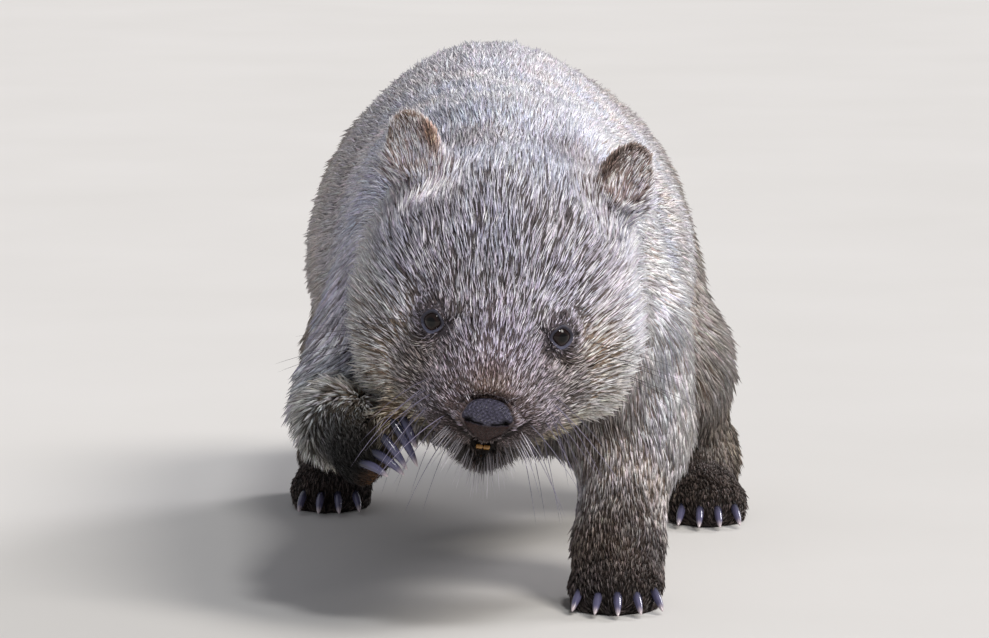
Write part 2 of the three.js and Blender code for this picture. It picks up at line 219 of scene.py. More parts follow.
# Paint on points
def paint(piece, colour):
    layer = piece.data.color_attributes.new("coat_colour", "FLOAT_COLOR", "POINT")
    values = np.ones((len(colour), 4), np.float32)
    values[:, :3] = np.clip(colour, 0, 1)
    layer.data.foreach_set("color", values.ravel())


def tone(colour, hex_colour, share):
    """Brings the points' colours towards one colour, each by its own share."""
    colour += (np.array(linear(hex_colour)) - colour) * share[:, None]


# Curves and fields
def fade(distance, reach):
    """1 at no distance, falling in a bell to about a third at the reach."""
    return np.exp(-((distance / reach) ** 2))


def unit(vectors):
    return vectors / np.maximum(np.linalg.norm(vectors, axis=-1, keepdims=True), 1e-9)


def step(value, start, end):
    """A smooth rise from 0 at the start to 1 at the end."""
    t = np.clip((value - start) / (end - start), 0, 1)
    return t * t * (3 - 2 * t)


def distance_to(points, place):
    return np.linalg.norm(points - place, axis=1)


def ripple(points, wavelength, seed):
    """A smooth random field of about -1 to 1: a sum of plane waves in random directions."""
    waves = np.random.default_rng(seed)
    total = np.zeros(len(points))
    for _ in range(7):
        direction = waves.normal(size=3)
        direction *= 2 * math.pi / (wavelength * np.linalg.norm(direction))
        total += np.sin(points @ direction + waves.uniform(0, 2 * math.pi))
    return total / math.sqrt(7)


# The chart of the coat. Each row: where, how far it rules (mm), lock length and width (mm), locks
# per square centimetre, lift off the skin (degrees), lie, root colour, tip colour. The lie is a
# direction, or, as an array, the point that the hair lies away from. The first chart is in the
# head's frame and holds for both sides, the second in the row frame.
MUZZLE = np.array(on_head((0, -92, -22)))
HEAD_CHART = [
    ((0, -73, 1), 9, 5.0, 0.52, 120, 13, MUZZLE, "#6f5c54", "#cdb9b2"),
    ((0, -67, 12), 6, 6.0, 0.52, 118, 14, MUZZLE, "#2a1c19", "#8a6f66"),
    ((0, -58, 14), 13, 8.5, 0.56, 112, 14, MUZZLE, "#45363a", "#eedde4"),
    ((0, -38, 20), 20, 11.5, 0.6, 108, 14, MUZZLE, "#271d1e", "#d6cad6"),
    ((34, -48, -12), 18, 10.5, 0.56, 112, 13, MUZZLE, "#241a1c", "#bdb1bc"),
    ((18, -70, -8), 10, 6.0, 0.5, 120, 12, MUZZLE, "#4a3b3a", "#cfc0c6"),
    ((46, -30, -18), 15, 11.5, 0.56, 110, 13, MUZZLE, "#251d1a", "#b5a9a4"),
    ((22, -74, -34), 10, 3.6, 0.46, 125, 10, MUZZLE, "#2e2424", "#8c7b7b"),
    ((0, -60, -72), 20, 13.0, 0.6, 90, 26, MUZZLE, "#100a08", "#4b3f3a"),
    ((24, 0, 30), 24, 14.5, 0.64, 94, 15, MUZZLE, "#130e0e", "#dcd6e2"),
    ((46, -14, 9), 9, 6.0, 0.5, 130, 9, MUZZLE, "#332c32", "#bcb1be"),
    ((42, 4, 27), 11, 11.0, 0.6, 110, 18, MUZZLE, "#332b31", "#e9e2f0"),
    ((0, 42, 50), 34, 18.0, 0.68, 84, 15, MUZZLE, "#181215", "#e0dcea"),
    ((0, 86, 52), 38, 21.0, 0.74, 74, 15, MUZZLE, "#5d5764", "#eff0fb"),
    ((44, 128, 46), 22, 22.0, 0.75, 70, 15, MUZZLE, "#4d4447", "#ccc6cc"),
    ((58, 40, 16), 28, 18.0, 0.68, 86, 16, MUZZLE, "#2d2628", "#ddd7e4"),
    ((66, 12, -34), 26, 18.0, 0.66, 86, 17, MUZZLE, "#7a6854", "#f8f0ea"),
    ((88, 52, -26), 32, 28.0, 0.8, 68, 32, MUZZLE, "#a59b95", "#fbf7f6"),
    ((38, -22, -66), 20, 15.0, 0.64, 90, 24, MUZZLE, "#5d4d38", "#decba9"),
    ((66, 18, -70), 28, 27.0, 0.7, 78, 28, (0.55, -0.29, -0.72), "#8f806b", "#fffaf0"),
    ((28, -46, -70), 12, 15.0, 0.6, 92, 26, MUZZLE, "#140d0b", "#54483f"),
    # The throat under the jaw is painted dark, as painted shade.
    ((0, 20, -100), 34, 20.7, 0.8, 66, 26, MUZZLE, "#1f1a17", "#665c55"),
]
# The rows on the animal's left, +X, are painted paler than their twins on its right, as painted
# light on the side that faces the light, and the rows on its right darker, as painted shade.
BODY_CHART = [
    # Along the top of the back the coat is silvery grey, painted paler still as painted light.
    ((-12, -225, 345), 60, 24, 0.8, 58, 16, (0, 1, 0.05), "#98949f", "#f2f2fc"),
    ((-13, -110, 352), 80, 26, 0.85, 46, 15, (0, 1, 0), "#d0cad6", "#fdfbff"),
    ((-15, 60, 372), 110, 26, 0.95, 38, 15, (0, 1, 0), "#c0b9be", "#f6f2f6"),
    ((-15, 260, 352), 100, 26, 1.0, 36, 15, (0, 1, -0.3), "#71675f", "#c9beb9"),
    ((-13, 400, 225), 90, 24, 1.0, 36, 16, (0, 0.3, -1), "#5c5047", "#b0a498"),
    ((105, -115, 250), 75, 27, 0.85, 48, 15, (0.1, 1, -0.4), "#e6e0e3", "#fffdff"),
    ((130, 60, 230), 110, 27, 0.95, 38, 15, (0, 1, -0.35), "#b7afad", "#f3eeec"),
    ((125, 260, 210), 100, 26, 1.0, 36, 16, (0, 1, -0.6), "#74695f", "#c4bab1"),
    ((-130, -115, 250), 75, 27, 0.85, 48, 15, (-0.1, 1, -0.4), "#827d84", "#d8d4e0"),
    ((-150, 60, 230), 110, 27, 0.95, 38, 15, (0, 1, -0.35), "#6e6662", "#c6bdba"),
    ((-145, 260, 210), 100, 26, 1.0, 36, 16, (0, 1, -0.6), "#645a52", "#b5aaa1"),
    ((-13, 80, 78), 100, 20, 1.0, 36, 15, (0, 1, 0), "#4f463f", "#968c82"),
    # The breast between the forelegs is painted dark, as painted shade.
    ((-13, -205, 115), 50, 20, 0.9, 58, 20, (0, 0.5, -0.7), "#2a231f", "#6b625b"),
    # Under the jowl's fringe the shoulder's front is painted dark, as painted shadow.
    ((58, -210, 140), 28, 21, 0.8, 60, 20, (0.2, 0.2, -1), "#4a403b", "#a09791"),
    ((90, -218, 168), 26, 22, 0.8, 58, 18, (0.2, 0.3, -1), "#a79d9b", "#f4efee"),
    ((105, -140, 150), 50, 24, 0.82, 56, 16, (0.05, -0.1, -1), "#bdb5b3", "#fbf8fa"),
    ((85, -165, 80), 38, 18, 0.78, 60, 15, (0, -0.45, -0.9), "#807773", "#e6dfdf"),
    ((-122, -150, 185), 50, 26, 0.82, 56, 18, (-0.3, -0.3, -0.9), "#4a4852", "#dcdcee"),
    ((-132, -235, 150), 36, 29, 0.75, 56, 20, (-0.5, -0.35, -0.8), "#1c1916", "#dedbd6"),
    ((-112, -235, 108), 30, 21, 0.75, 60, 18, (-0.3, -0.5, -0.8), "#1a1611", "#8f866f"),
    ((-104, -310, 132), 32, 9, 0.55, 100, 12, (0.3, -0.8, -0.55), "#020202", "#121011"),
    ((-96, -334, 104), 9, 6.0, 0.5, 100, 10, (0.6, -0.4, -0.6), "#2c1a10", "#7d5838"),
    ((68, -228, 20), 32, 10, 0.65, 78, 12, (0, -0.85, -0.5), "#1c1512", "#5b504b"),
    ((144, 140, 20), 34, 10, 0.65, 72, 12, (0, -0.85, -0.5), "#1c1512", "#5b504b"),
    ((-144, 205, 20), 34, 10, 0.65, 72, 12, (0, -0.85, -0.5), "#1c1512", "#5b504b"),
    ((76, -205, 52), 24, 13, 0.7, 66, 14, (0, -0.6, -0.8), "#3d332e", "#8b807a"),
    ((120, 190, 140), 55, 24, 1.0, 44, 16, (0.1, 0.2, -1), "#675c54", "#bcb1a8"),
    ((-120, 255, 140), 55, 24, 1.0, 44, 16, (-0.1, 0.2, -1), "#5c5149", "#aca196"),
    ((140, 205, 75), 30, 16, 0.85, 54, 15, (0, 0.2, -1), "#443a33", "#8f8477"),
    ((-140, 270, 75), 30, 16, 0.85, 54, 15, (0, 0.2, -1), "#443a33", "#8f8477"),
    ((-13, 405, 222), 14, 10, 0.9, 72, 16, (0, 0.5, -1), "#4a4038", "#8d8277"),
]


# The ears' own frames, in millimetres: root at the skull, Z runs up the ear, the bowl faces -Y
EAR_ROOTS = {"left": (69, 90, 40.7), "right": (-65, 90, 45.3)}
EAR_LEAN = 0.3
EAR_NOD = -0.15


def ear_matrix(side):
    sign = 1 if side == "left" else -1
    turn = (
        Matrix.Rotation(sign * EAR_LEAN, 4, "Z")
        @ Matrix.Rotation(sign * EAR_LEAN, 4, "Y")
        @ Matrix.Rotation(EAR_NOD, 4, "X")
    )
    head = Matrix.Translation(HEAD_ORIGIN) @ HEAD_TURN.to_4x4() @ Matrix.Scale(MM, 4)
    return head @ Matrix.Translation(EAR_ROOTS[side]) @ turn


def to_ear(points, side):
    """Row-frame metres to ear-frame millimetres."""
    back = np.array(ear_matrix(side).inverted())
    return points @ back[:3, :3].T + back[:3, 3]


# Root and tip colours in each ear. The right ear is the paler one.
EAR_COLOURS = {
    "left": {
        "bowl": ("#a59597", "#fffaff"), "rim": ("#3b2a22", "#6e5142"),
        "crest": ("#40312a", "#a08c80"), "back": ("#5f5656", "#d0c7cd"),
        "base": ("#6a6066", "#faf4fc"),
    },
    "right": {
        "bowl": ("#e2d8da", "#fffaff"), "rim": ("#3b2a22", "#c69a7d"),
        "crest": ("#8d7d75", "#f8f0ee"), "back": ("#a59b9f", "#f2eaf0"),
        "base": ("#9a9096", "#faf4fc"),
    },
}


def ear_rows():
    """The ears: hair lies from the root to the rim, pale in the bowl and brown along the rim."""
    rows = []
    for side, shades in EAR_COLOURS.items():
        inner = -1 if side == "left" else 1
        ear = ear_matrix(side)
        root = np.array(ear @ Vector((0, 3, -60)))
        places = [
            ((0, -9, 26), 12, 11.0, 0.66, 115, 24, shades["bowl"]),
            ((inner * 18, -4, 34), 8, 8.0, 0.55, 130, 26, shades["rim"]),
            ((-inner * 18, -3, 34), 9, 8.0, 0.6, 125, 26, ("#9b8c86", "#f6eeec")),
            ((0, -2, 56), 8, 7.0, 0.6, 125, 26, shades["crest"]),
            ((0, 11, 28), 16, 9.0, 0.6, 110, 18, shades["back"]),
            ((0, -10, 2), 20, 17.0, 0.7, 100, 30, shades["base"]),
        ]
        for place, *numbers, ends in places:
            rows.append((np.array(ear @ Vector(place)), *numbers, root, *ends))
    return rows


def chart_rows():
    """Every row of the charts in the row frame, the head's rows on both sides."""
    rows = []
    for (x, y, z), *numbers, way, root, tip in HEAD_CHART:
        for side in (-1, 1) if x else (1,):
            lie = way
            if not isinstance(way, np.ndarray):
                lie = tuple(HEAD_TURN @ Vector((side * way[0], way[1], way[2])))
            rows.append((np.array(on_head((side * x, y, z))), *numbers, lie, root, tip))
    return rows + ear_rows() + [(np.array(place) * MM, *rest) for place, *rest in BODY_CHART]


CHART = chart_rows()
# Where no row is near, the coat is mixed from the rows within this many millimetres
FAR_REACH = 400


def coat_at(points):
    """The coat's numbers, lie and colours at an array of points, mixed from the chart's rows."""
    total = np.zeros(len(points)) + 1e-12
    numbers = np.zeros((len(points), 4))
    lie = np.zeros((len(points), 3))
    roots = np.zeros((len(points), 3))
    tips = np.zeros((len(points), 3))
    for place, reach, length, width, density, lift, way, root, tip in CHART:
        distance = distance_to(points, place) / MM
        weight = (fade(distance, reach) + 1e-9 * fade(distance, FAR_REACH)) / reach**2
        total += weight
        numbers += weight[:, None] * np.array([length, width, density, lift])
        away = points - way if isinstance(way, np.ndarray) else np.array(way, float)
        lie += weight[:, None] * unit(away)
        roots += weight[:, None] * np.array(linear(root))
        tips += weight[:, None] * np.array(linear(tip))
    share = total[:, None]
    return numbers / share, lie / share, roots / share, tips / share


# The skin
FLESH = [
    node
    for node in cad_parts
    if not any(word in node for word in ("eye", "nose", "claw", "incisor"))
]
CLAW_NODES = sorted(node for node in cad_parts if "claw" in node)
CLAW_ROOT_LENGTH = 0.008
SKIN_CELL = 0.0038
FATTEN = 0.0006
TOE_RADIUS = 0.0068
TOE_HALF_LENGTH = 0.013
TOE_SET_BACK = 0.004
OUTER_TOE_SIZE = 0.85


def claw_line(node):
    """A claw's root and tip: its tip is the point farthest from the middle of its foot."""
    places = points_of(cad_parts[node])
    foot = np.array(sum(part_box(node.split("_claw")[0]), Vector()) / 2)
    tip = places[np.argmax(distance_to(places, foot))]
    away = distance_to(places, tip)
    root = places[away > away.max() - CLAW_ROOT_LENGTH].mean(axis=0)
    return Vector(root), Vector(tip)


def add_toes():
    """A soft toe behind each claw, so that the skin swells round its root."""
    toes = []
    for node in CLAW_NODES:
        root, tip = claw_line(node)
        along = (tip - root).normalized()
        size = OUTER_TOE_SIZE if node.endswith(("_1", "_5")) else 1.0
        radius = TOE_RADIUS * size
        place = Matrix.Translation(root - along * TOE_SET_BACK)
        turn = along.to_track_quat("Z", "Y").to_matrix().to_4x4()
        toe = add_ball(16, 10)
        set_down(toe, place @ turn @ Matrix.Diagonal((radius, radius, TOE_HALF_LENGTH * size, 1)))
        toes.append(toe)
    return toes


# The ear in its own millimetres: the paddle and its broad root, each by its middle and radii, and
# the bowl in its front. Where the rim lies and how wide it is are shares of the bowl's half sizes.
EAR_FILLING = [((0, 0, 26), (23, 12.5, 30.5)), ((0, 3, 6), (30, 17, 23))]
EAR_HEIGHT = 27
EAR_HALF = (23, 13, 31)
EAR_THICKNESS = 16
BOWL_HEIGHT = 31
BOWL_HALF = (15.5, 20.5)
BOWL_DEPTH = 8.5
BOWL_RIM = 1.2
BOWL_RIM_AT = 1.12
BOWL_RIM_WIDTH = 0.14


def add_ear_fillings():
    """Fills each ear to a whole paddle, so that its bowl can be pressed in later."""
    fillings = []
    for side in EAR_ROOTS:
        for middle, radii in EAR_FILLING:
            filling = add_ball(24, 16)
            place = ear_matrix(side) @ Matrix.Translation(middle)
            set_down(filling, place @ Matrix.Diagonal((*radii, 1)))
            fillings.append(filling)
    return fillings


def near_ears(points, margin=4):
    """Points within a margin, in millimetres, of either ear."""
    near = np.zeros(len(points), bool)
    for side in EAR_ROOTS:
        x, y, z = to_ear(points, side).T
        wide, deep, high = (half + margin for half in EAR_HALF)
        near |= np.hypot(np.hypot(x / wide, y / deep), (z - EAR_HEIGHT) / high) < 1
    return near


def shape_ears(skin):
    """Presses the bowl into the front of each ear and rolls its rim forward."""
    places = points_of(skin)
    for side in EAR_ROOTS:
        back = np.array(ear_matrix(side).to_3x3()) / MM
        x, y, z = to_ear(places, side).T
        r = np.hypot(x / BOWL_HALF[0], (z - BOWL_HEIGHT) / BOWL_HALF[1])
        front = step(-y, -3, 2) * (np.abs(y) < EAR_THICKNESS)
        bowl = BOWL_DEPTH * np.clip(1 - r**2, 0, 1) ** 0.8
        press = bowl - BOWL_RIM * fade(r - BOWL_RIM_AT, BOWL_RIM_WIDTH)
        places += (press * front)[:, None] * back[:, 1] * MM
    move_points(skin, places)


def make_skin():
    """The flesh, toes and ears as one closed mesh, sunk by the depth of the coat on it."""
    flesh = copy_of(FLESH, "skin")
    only(flesh)
    bpy.ops.object.mode_set(mode="EDIT")
    bpy.ops.mesh.select_all(action="SELECT")
    bpy.ops.transform.shrink_fatten(value=FATTEN)
    bpy.ops.object.mode_set(mode="OBJECT")
    skin = join_pieces([flesh, *add_toes(), *add_ear_fillings()], "skin")
    finish_modifier(skin, "REMESH", mode="VOXEL", voxel_size=SKIN_CELL)
    finish_modifier(skin, "SMOOTH", factor=0.5, iterations=14)
    places = points_of(skin)
    numbers = coat_at(places)[0]
    depth = numbers[:, 0] * np.sin(np.radians(numbers[:, 3])) * MM
    sunk = places - normals_of(skin) * depth[:, None]
    move_points(skin, sunk)
    finish_modifier(skin, "SMOOTH", factor=0.5, iterations=5)
    return skin


SOLE_REACH = 0.007


def flatten_soles(skin):
    """Sets the undersides of the standing feet on the floor."""
    places = points_of(skin)
    low = places[:, 2] < SOLE_REACH
    down = normals_of(skin)[:, 2] < -0.35
    places[low & down, 2] = SOLE_HEIGHT
    places[:, 2] = np.maximum(places[:, 2], SOLE_HEIGHT)
    move_points(skin, places)


def refine(skin, is_fine, cuts):
    """Subdivides the faces whose middles pass a test."""
    count = len(skin.data.polygons)
    middles = np.empty(count * 3, np.float32)
    skin.data.polygons.foreach_get("center", middles)
    chosen = is_fine(middles.reshape(-1, 3).astype(float))
    skin.data.vertices.foreach_set("select", np.zeros(len(skin.data.vertices), bool))
    skin.data.edges.foreach_set("select", np.zeros(len(skin.data.edges), bool))
    skin.data.polygons.foreach_set("select", chosen)
    only(skin)
    bpy.ops.object.mode_set(mode="EDIT")
    bpy.ops.mesh.select_mode(type="FACE")
    bpy.ops.mesh.subdivide(number_cuts=cuts, smoothness=0)
    bpy.ops.object.mode_set(mode="OBJECT")


# The eyes: opening and lids are given as angles on the eyeball
EYE_RADIUS = 0.009
OPEN_WIDE = math.radians(45)
OPEN_HIGH = math.radians(41)
CANTHUS = 0.12
LID_THICKNESS = 0.0014
EYE_SURROUND = 0.019
EYE_AIM = {"left": Vector((0.42, -0.80, 0.42)), "right": Vector((-0.42, -0.80, 0.42))}
EYE_UP = HEAD_TURN @ Vector((0, 0.25, 1))
EYE_DOWN = -np.array(EYE_UP)


def eye_frame(side):
    """Row-frame directions: out through the pupil, towards the ear, and square to both."""
    aim = (HEAD_TURN @ EYE_AIM[side]).normalized()
    across = EYE_UP.normalized().cross(aim).normalized()
    if (across.x > 0) != (side == "left"):
        across = -across
    return np.array(aim), np.array(across), np.array((aim.cross(across)).normalized())


def near_eyes(points):
    """Points on the lids and just round them."""
    away = [distance_to(points, np.array(middle)) for middle in EYES.values()]
    return np.min(away, axis=0) < EYE_SURROUND


def eye_angles(points, side):
    """Distance from the eye's middle, and how far out of the opening: 1 is the lids' edge."""
    aim, across, up = eye_frame(side)
    ray = points - np.array(EYES[side])
    distance = np.linalg.norm(ray, axis=1)
    ahead = ray @ aim
    u = np.arctan2(ray @ across, ahead)
    v = np.arctan2(ray @ up, ahead)
    wide = u / OPEN_WIDE
    opening = np.hypot(wide, v / (OPEN_HIGH * (1 - CANTHUS * np.minimum(wide**2, 1))))
    return distance, np.where(ahead > 0, opening, 9.0)


# The mound of skin round each eyeball, in millimetres about the line through the pupil
SOCKET_RADIUS = 10.4
SOCKET_EDGE = 7.5
SOCKET_SLOPE = 0.9
SOCKET_SOFT = 1.4
SOCKET_FADE = 13.0
SOCKET_REACH = 20.0
SOCKET_THICKNESS = 24.0


def raise_sockets(skin):
    """Brings the skin forward round each eyeball, so that the lids can close over it."""
    places = points_of(skin)
    normals = normals_of(skin)
    for side in EYES:
        aim, across, up = eye_frame(side)
        ray = (places - np.array(EYES[side])) / MM
        out = ray @ aim
        away = np.hypot(ray @ across, ray @ up)
        dome = np.sqrt(SOCKET_RADIUS**2 - np.minimum(away, SOCKET_EDGE) ** 2)
        dome -= SOCKET_SLOPE * np.maximum(away - SOCKET_EDGE, 0)
        rise = SOCKET_SOFT * np.logaddexp(0, (dome - out) / SOCKET_SOFT)
        near = (np.abs(out) < SOCKET_THICKNESS) & (normals @ aim > 0.05)
        rise *= (1 - step(away, SOCKET_FADE, SOCKET_REACH)) * near
        places += rise[:, None] * aim * MM
    move_points(skin, places)


# The lids, in metres, and how much their rims are rolled, as a share of their thickness. Across a
# lid, places are given by how far out of the opening they lie.
LID_REACH = 0.016
LID_SKIN_REACH = 0.03
LID_ROLL = 0.45
LID_FOLD = 0.0010
LID_BROW = 0.0006
BEHIND_EYEBALL = 0.80 * EYE_RADIUS


def shape_lids(skin):
    """Draws the skin over each eyeball, with an open slit, a rolled rim and a fold round it."""
    places = points_of(skin)
    least = EYE_RADIUS + LID_THICKNESS
    for side in EYES:
        middle = np.array(EYES[side])
        distance, opening = eye_angles(places, side)
        ray = (places - middle) / distance[:, None]
        rim = EYE_RADIUS + LID_THICKNESS * (1 + LID_ROLL * fade(opening - 1.18, 0.16))
        fold = rim - LID_FOLD * fade(opening - 1.62, 0.16) + LID_BROW * fade(opening - 1.95, 0.2)
        lid = BEHIND_EYEBALL + (fold - BEHIND_EYEBALL) * step(opening, 0.94, 1.06)
        hold = 1 - step(opening, 1.6, 2.6)
        target = distance + (lid - distance) * hold
        target = np.where(opening > 1.1, np.maximum(target, least), target)
        moved = middle + ray * target[:, None]
        places = np.where(distance[:, None] < LID_SKIN_REACH, moved, places)
    move_points(skin, places)


# Square-on measures of the head, in millimetres: the height above its origin, and the reach
# forward, as the camera in front of the face sees them
CAMERA_RISE = math.radians(7.5)
SEEN_TILT = HEAD_PITCH + CAMERA_RISE


def seen_height(q):
    return math.sin(SEEN_TILT) * q[:, 1] + math.cos(SEEN_TILT) * q[:, 2]


def seen_reach(q):
    return math.sin(SEEN_TILT) * q[:, 2] - math.cos(SEEN_TILT) * q[:, 1]


def from_seen(across, height, reach):
    """Head-frame points from their square-on measures."""
    y = math.sin(SEEN_TILT) * height - math.cos(SEEN_TILT) * reach
    z = math.cos(SEEN_TILT) * height + math.sin(SEEN_TILT) * reach
    return np.stack([across, y, z], axis=1)


# The lips: a V seen from in front, round and parted in the middle, where the incisors show
LIP_LOW = -83.3
LIP_SLOPE = 0.79
LIP_ROUND = 5.0
LIP_CORNER = 27.0
LIP_DEPTH_BEHIND = -30.0
PARTING_WIDTH = 6.5
PARTING_DROP = 3.2
LIP_GROOVE = 1.8
LIP_GROOVE_DEEPER = 2.4
LIP_ROLL = 1.6
LIP_TUCK = 1.0
LIP_CLEFT = 1.2
LIP_REACH = 14
LIP_SURROUND = 8


def lip_line(x):
    return LIP_LOW + LIP_SLOPE * np.hypot(x, LIP_ROUND) - PARTING_DROP * fade(x, PARTING_WIDTH)


def lip_distance(points):
    """Millimetres in front view from the gap between the lips, within the mouth's corners."""
    q = to_head(points)
    x = np.abs(q[:, 0])
    parting = 1 + 0.9 * fade(x, PARTING_WIDTH)
    away = np.abs(seen_height(q) - lip_line(x)) / math.hypot(1, LIP_SLOPE) / parting
    past = np.maximum(x - LIP_CORNER, 0)
    behind = np.maximum(q[:, 1] - LIP_DEPTH_BEHIND, 0)
    return np.hypot(np.hypot(away, past), behind)


def near_lips(points):
    return lip_distance(points) < LIP_SURROUND


def shape_mouth(skin):
    """Parts the lips, rolls the upper lip over the lower one and cleaves it under the nose."""
    places = points_of(skin)
    normals = normals_of(skin)
    distance = lip_distance(places)
    q = to_head(places)
    middle = q[:, 0]
    over = seen_height(q) - lip_line(middle)
    near = distance < LIP_REACH
    groove = (LIP_GROOVE + LIP_GROOVE_DEEPER * fade(middle, 9.0)) * fade(distance, 1.6)
    roll = LIP_ROLL * fade(over - 4.5, 3.0) * near
    tuck = LIP_TUCK * fade(over + 4.0, 3.0) * near
    cleft = LIP_CLEFT * fade(middle, 1.8) * fade(over - 5.0, 4.0) * (q[:, 1] < -50)
    move = (roll - tuck - groove - cleft) * MM
    move_points(skin, places + normals * move[:, None])


# The nose pad's outline and face, in square-on measures: a shield, broad on top, with a V below
NOSE_HEIGHT = -63.4
NOSE_HALF_WIDTH = 18.4
NOSE_HALF_HEIGHT = 14.4
NOSE_PROUD = 4.8
NOSE_HOLLOW = 5.0
NOSE_BACK = 44.0
NOSE_FRONT = 66.3
NOSE_TOP_LEAN = 5.8
NOSE_POINT_LEAN = 17.0
NOSE_TOP_NARROWING = 0.38
NOSE_SURROUND = 1.4
FRONT_OF_HEAD = 28.0


def nose_outline(level):
    """Half the pad's width at a level from -1, its point, to 1, its top."""
    upper = np.clip(level, 0, 1)
    high = (1 - NOSE_TOP_NARROWING * upper**1.3) * (1 - upper**7) ** 0.5
    low = 1 - np.clip(-level, 0, 1) ** 1.7
    return NOSE_HALF_WIDTH * np.where(level > 0, high, low)


def nose_face(level):
    """How far forward the middle of the pad's face reaches at a level."""
    top = NOSE_TOP_LEAN * np.clip(level, 0, 1) ** 3
    return NOSE_FRONT - top - NOSE_POINT_LEAN * np.clip(-level, 0, 1) ** 2


def nose_share(q):
    """0 in the middle of the pad and 1 on its outline, for head-frame points."""
    level = (seen_height(q) - NOSE_HEIGHT) / NOSE_HALF_HEIGHT
    across = np.abs(q[:, 0]) / np.maximum(nose_outline(level), 0.5)
    return np.maximum(across, np.abs(level)), level


def near_nose(points):
    """Points round the nose pad, but clear of the lips."""
    q = to_head(points)
    share, _ = nose_share(q)
    front = (share < NOSE_SURROUND) & (seen_reach(q) > FRONT_OF_HEAD)
    return front & (lip_distance(points) > LIP_SURROUND + 1)


def shape_nose_bed(skin):
    """Brings the skin forward under the nose pad, so that hair grows right up to its edge."""
    places = points_of(skin)
    q = to_head(places)
    share, level = nose_share(q)
    reach = seen_reach(q)
    bed = nose_face(level) - NOSE_PROUD - NOSE_HOLLOW * (1 - step(share, 0.65, 0.98))
    weight = (1 - step(share, 0.95, 1.30)) * (reach > FRONT_OF_HEAD)
    raised = reach + np.maximum(bed - reach, 0) * weight
    move_points(skin, from_head(from_seen(q[:, 0], seen_height(q), raised)))


# The face's hollows and swellings: middle on the head, reach and height, all in millimetres
FACE_RELIEF = [
    ((35, -32, -2), 13, -2.4),
    ((45, -36, -30), 9, -3.0),
    ((27, -62, -22), 13, 2.6),
    ((0, -62, 12), 11, 1.6),
    ((13, -54, 15), 7, -1.4),
    ((0, -64, -62), 9, 4.5),
    ((15, -56, -62), 10, 3.0),
    ((90, 44, -24), 28, 5.0),
    ((68, 8, -66), 24, 6.0),
    ((44, -4, 24), 13, 2.6),
    ((22, -16, 24), 14, -1.6),
    ((66, 2, -30), 24, 2.4),
]


def shape_face(skin):
    """Models the muzzle away from the cheeks, and the brows over the eyes."""
    places = points_of(skin)
    normals = normals_of(skin)
    q = to_head(places)
    rise = np.zeros(len(q))
    for (x, y, z), reach, height in FACE_RELIEF:
        for side in (-1, 1) if x else (1,):
            rise += height * fade(distance_to(q, np.array((side * x, y, z))), reach)
    move_points(skin, places + normals * rise[:, None] * MM)


def unwrap(piece):
    """Lays the skin's own shape out flat as the OFBake map."""
    only(piece)
    bpy.ops.object.mode_set(mode="EDIT")
    bpy.ops.mesh.select_all(action="SELECT")
    bpy.ops.uv.smart_project(angle_limit=math.radians(66), island_margin=0.002)
    bpy.ops.object.mode_set(mode="OBJECT")
    piece.data.uv_layers.active.name = "OFBake"


# How much of the coat's root and tip colours the skin under it shows
ROOT_SHARE = 0.62
TIP_SHARE = 0.06


def paint_skin(skin):
    """The skin carries the coat's markings, darker, with bare lids, lips, soles and palm."""
    places = points_of(skin)
    normals = normals_of(skin)
    _, _, roots, tips = coat_at(places)
    colour = roots * ROOT_SHARE + tips * TIP_SHARE
    colour *= (1 + 0.16 * ripple(places, 0.012, 5))[:, None]
    for side in EYES:
        paint_lids(colour, places, side)
    q = to_head(places)
    over = seen_height(q) - lip_line(q[:, 0])
    tone(colour, "#4a2d27", fade(q[:, 0], 3.2) * fade(over - 5.0, 4.5) * (q[:, 1] < -40))
    # The lips are dark skin, painted near black at their parting as painted shade in the gap.
    tone(colour, "#140b0a", fade(lip_distance(places), 2.0))
    tone(colour, "#2f2622", step(-normals[:, 2], 0.5, 0.9) * (places[:, 2] < 0.012))
    tone(colour, "#7a4a2c", fade(distance_to(places, PALM), 0.013))
    paint(skin, colour)


def paint_lids(colour, places, side):
    """Dark lids, a bluish-grey rim kept mostly to the lower lid as painted light, the upper rim
    left dark as painted shade, and the skin hidden behind the eyeball painted darker still as
    painted shade.
    """
    distance, opening = eye_angles(places, side)
    close = distance < LID_REACH
    tone(colour, "#1b171b", fade(opening - 1.2, 0.3) * close)
    # Painted light and shade: the bluish-grey rim is painted mostly on the lower lid, where the
    # light catches it, and the upper rim is left dark.
    under = (places - np.array(EYES[side])) @ EYE_DOWN
    low = 0.22 + 0.78 * step(under, -0.003, 0.006)
    tone(colour, "#6c6f88", fade(opening - 1.17, 0.16) * close * low)
    # Painted shade: the skin hidden behind the eyeball is near black.
    colour[(opening < 0.99) & (distance < 0.0105)] = linear("#120d0c")
    tone(colour, "#3a3339", fade(opening - 1.5, 0.2) * (distance < 0.018))


# Hide under fur: matt, slightly oily skin that shows on lids, lips, toes and soles. Its pores are
# too fine for the render, so they are drawn 1.1 mm apart.
def hide_material():
    material, tree, shader = painted_material("furred_hide", 0.62, Specular_IOR_Level=0.35)
    where = add_node(tree, "ShaderNodeTexCoord").outputs["Object"]
    grain = add_node(tree, "ShaderNodeTexNoise", Vector=where, Scale=scale_for(1.1), Detail=3.0)
    bump = add_node(
        tree, "ShaderNodeBump", Strength=0.5, Distance=0.6 * MM, Height=grain.outputs["Fac"]
    )
    tree.links.new(bump.outputs["Normal"], shader.inputs["Normal"])
    return material


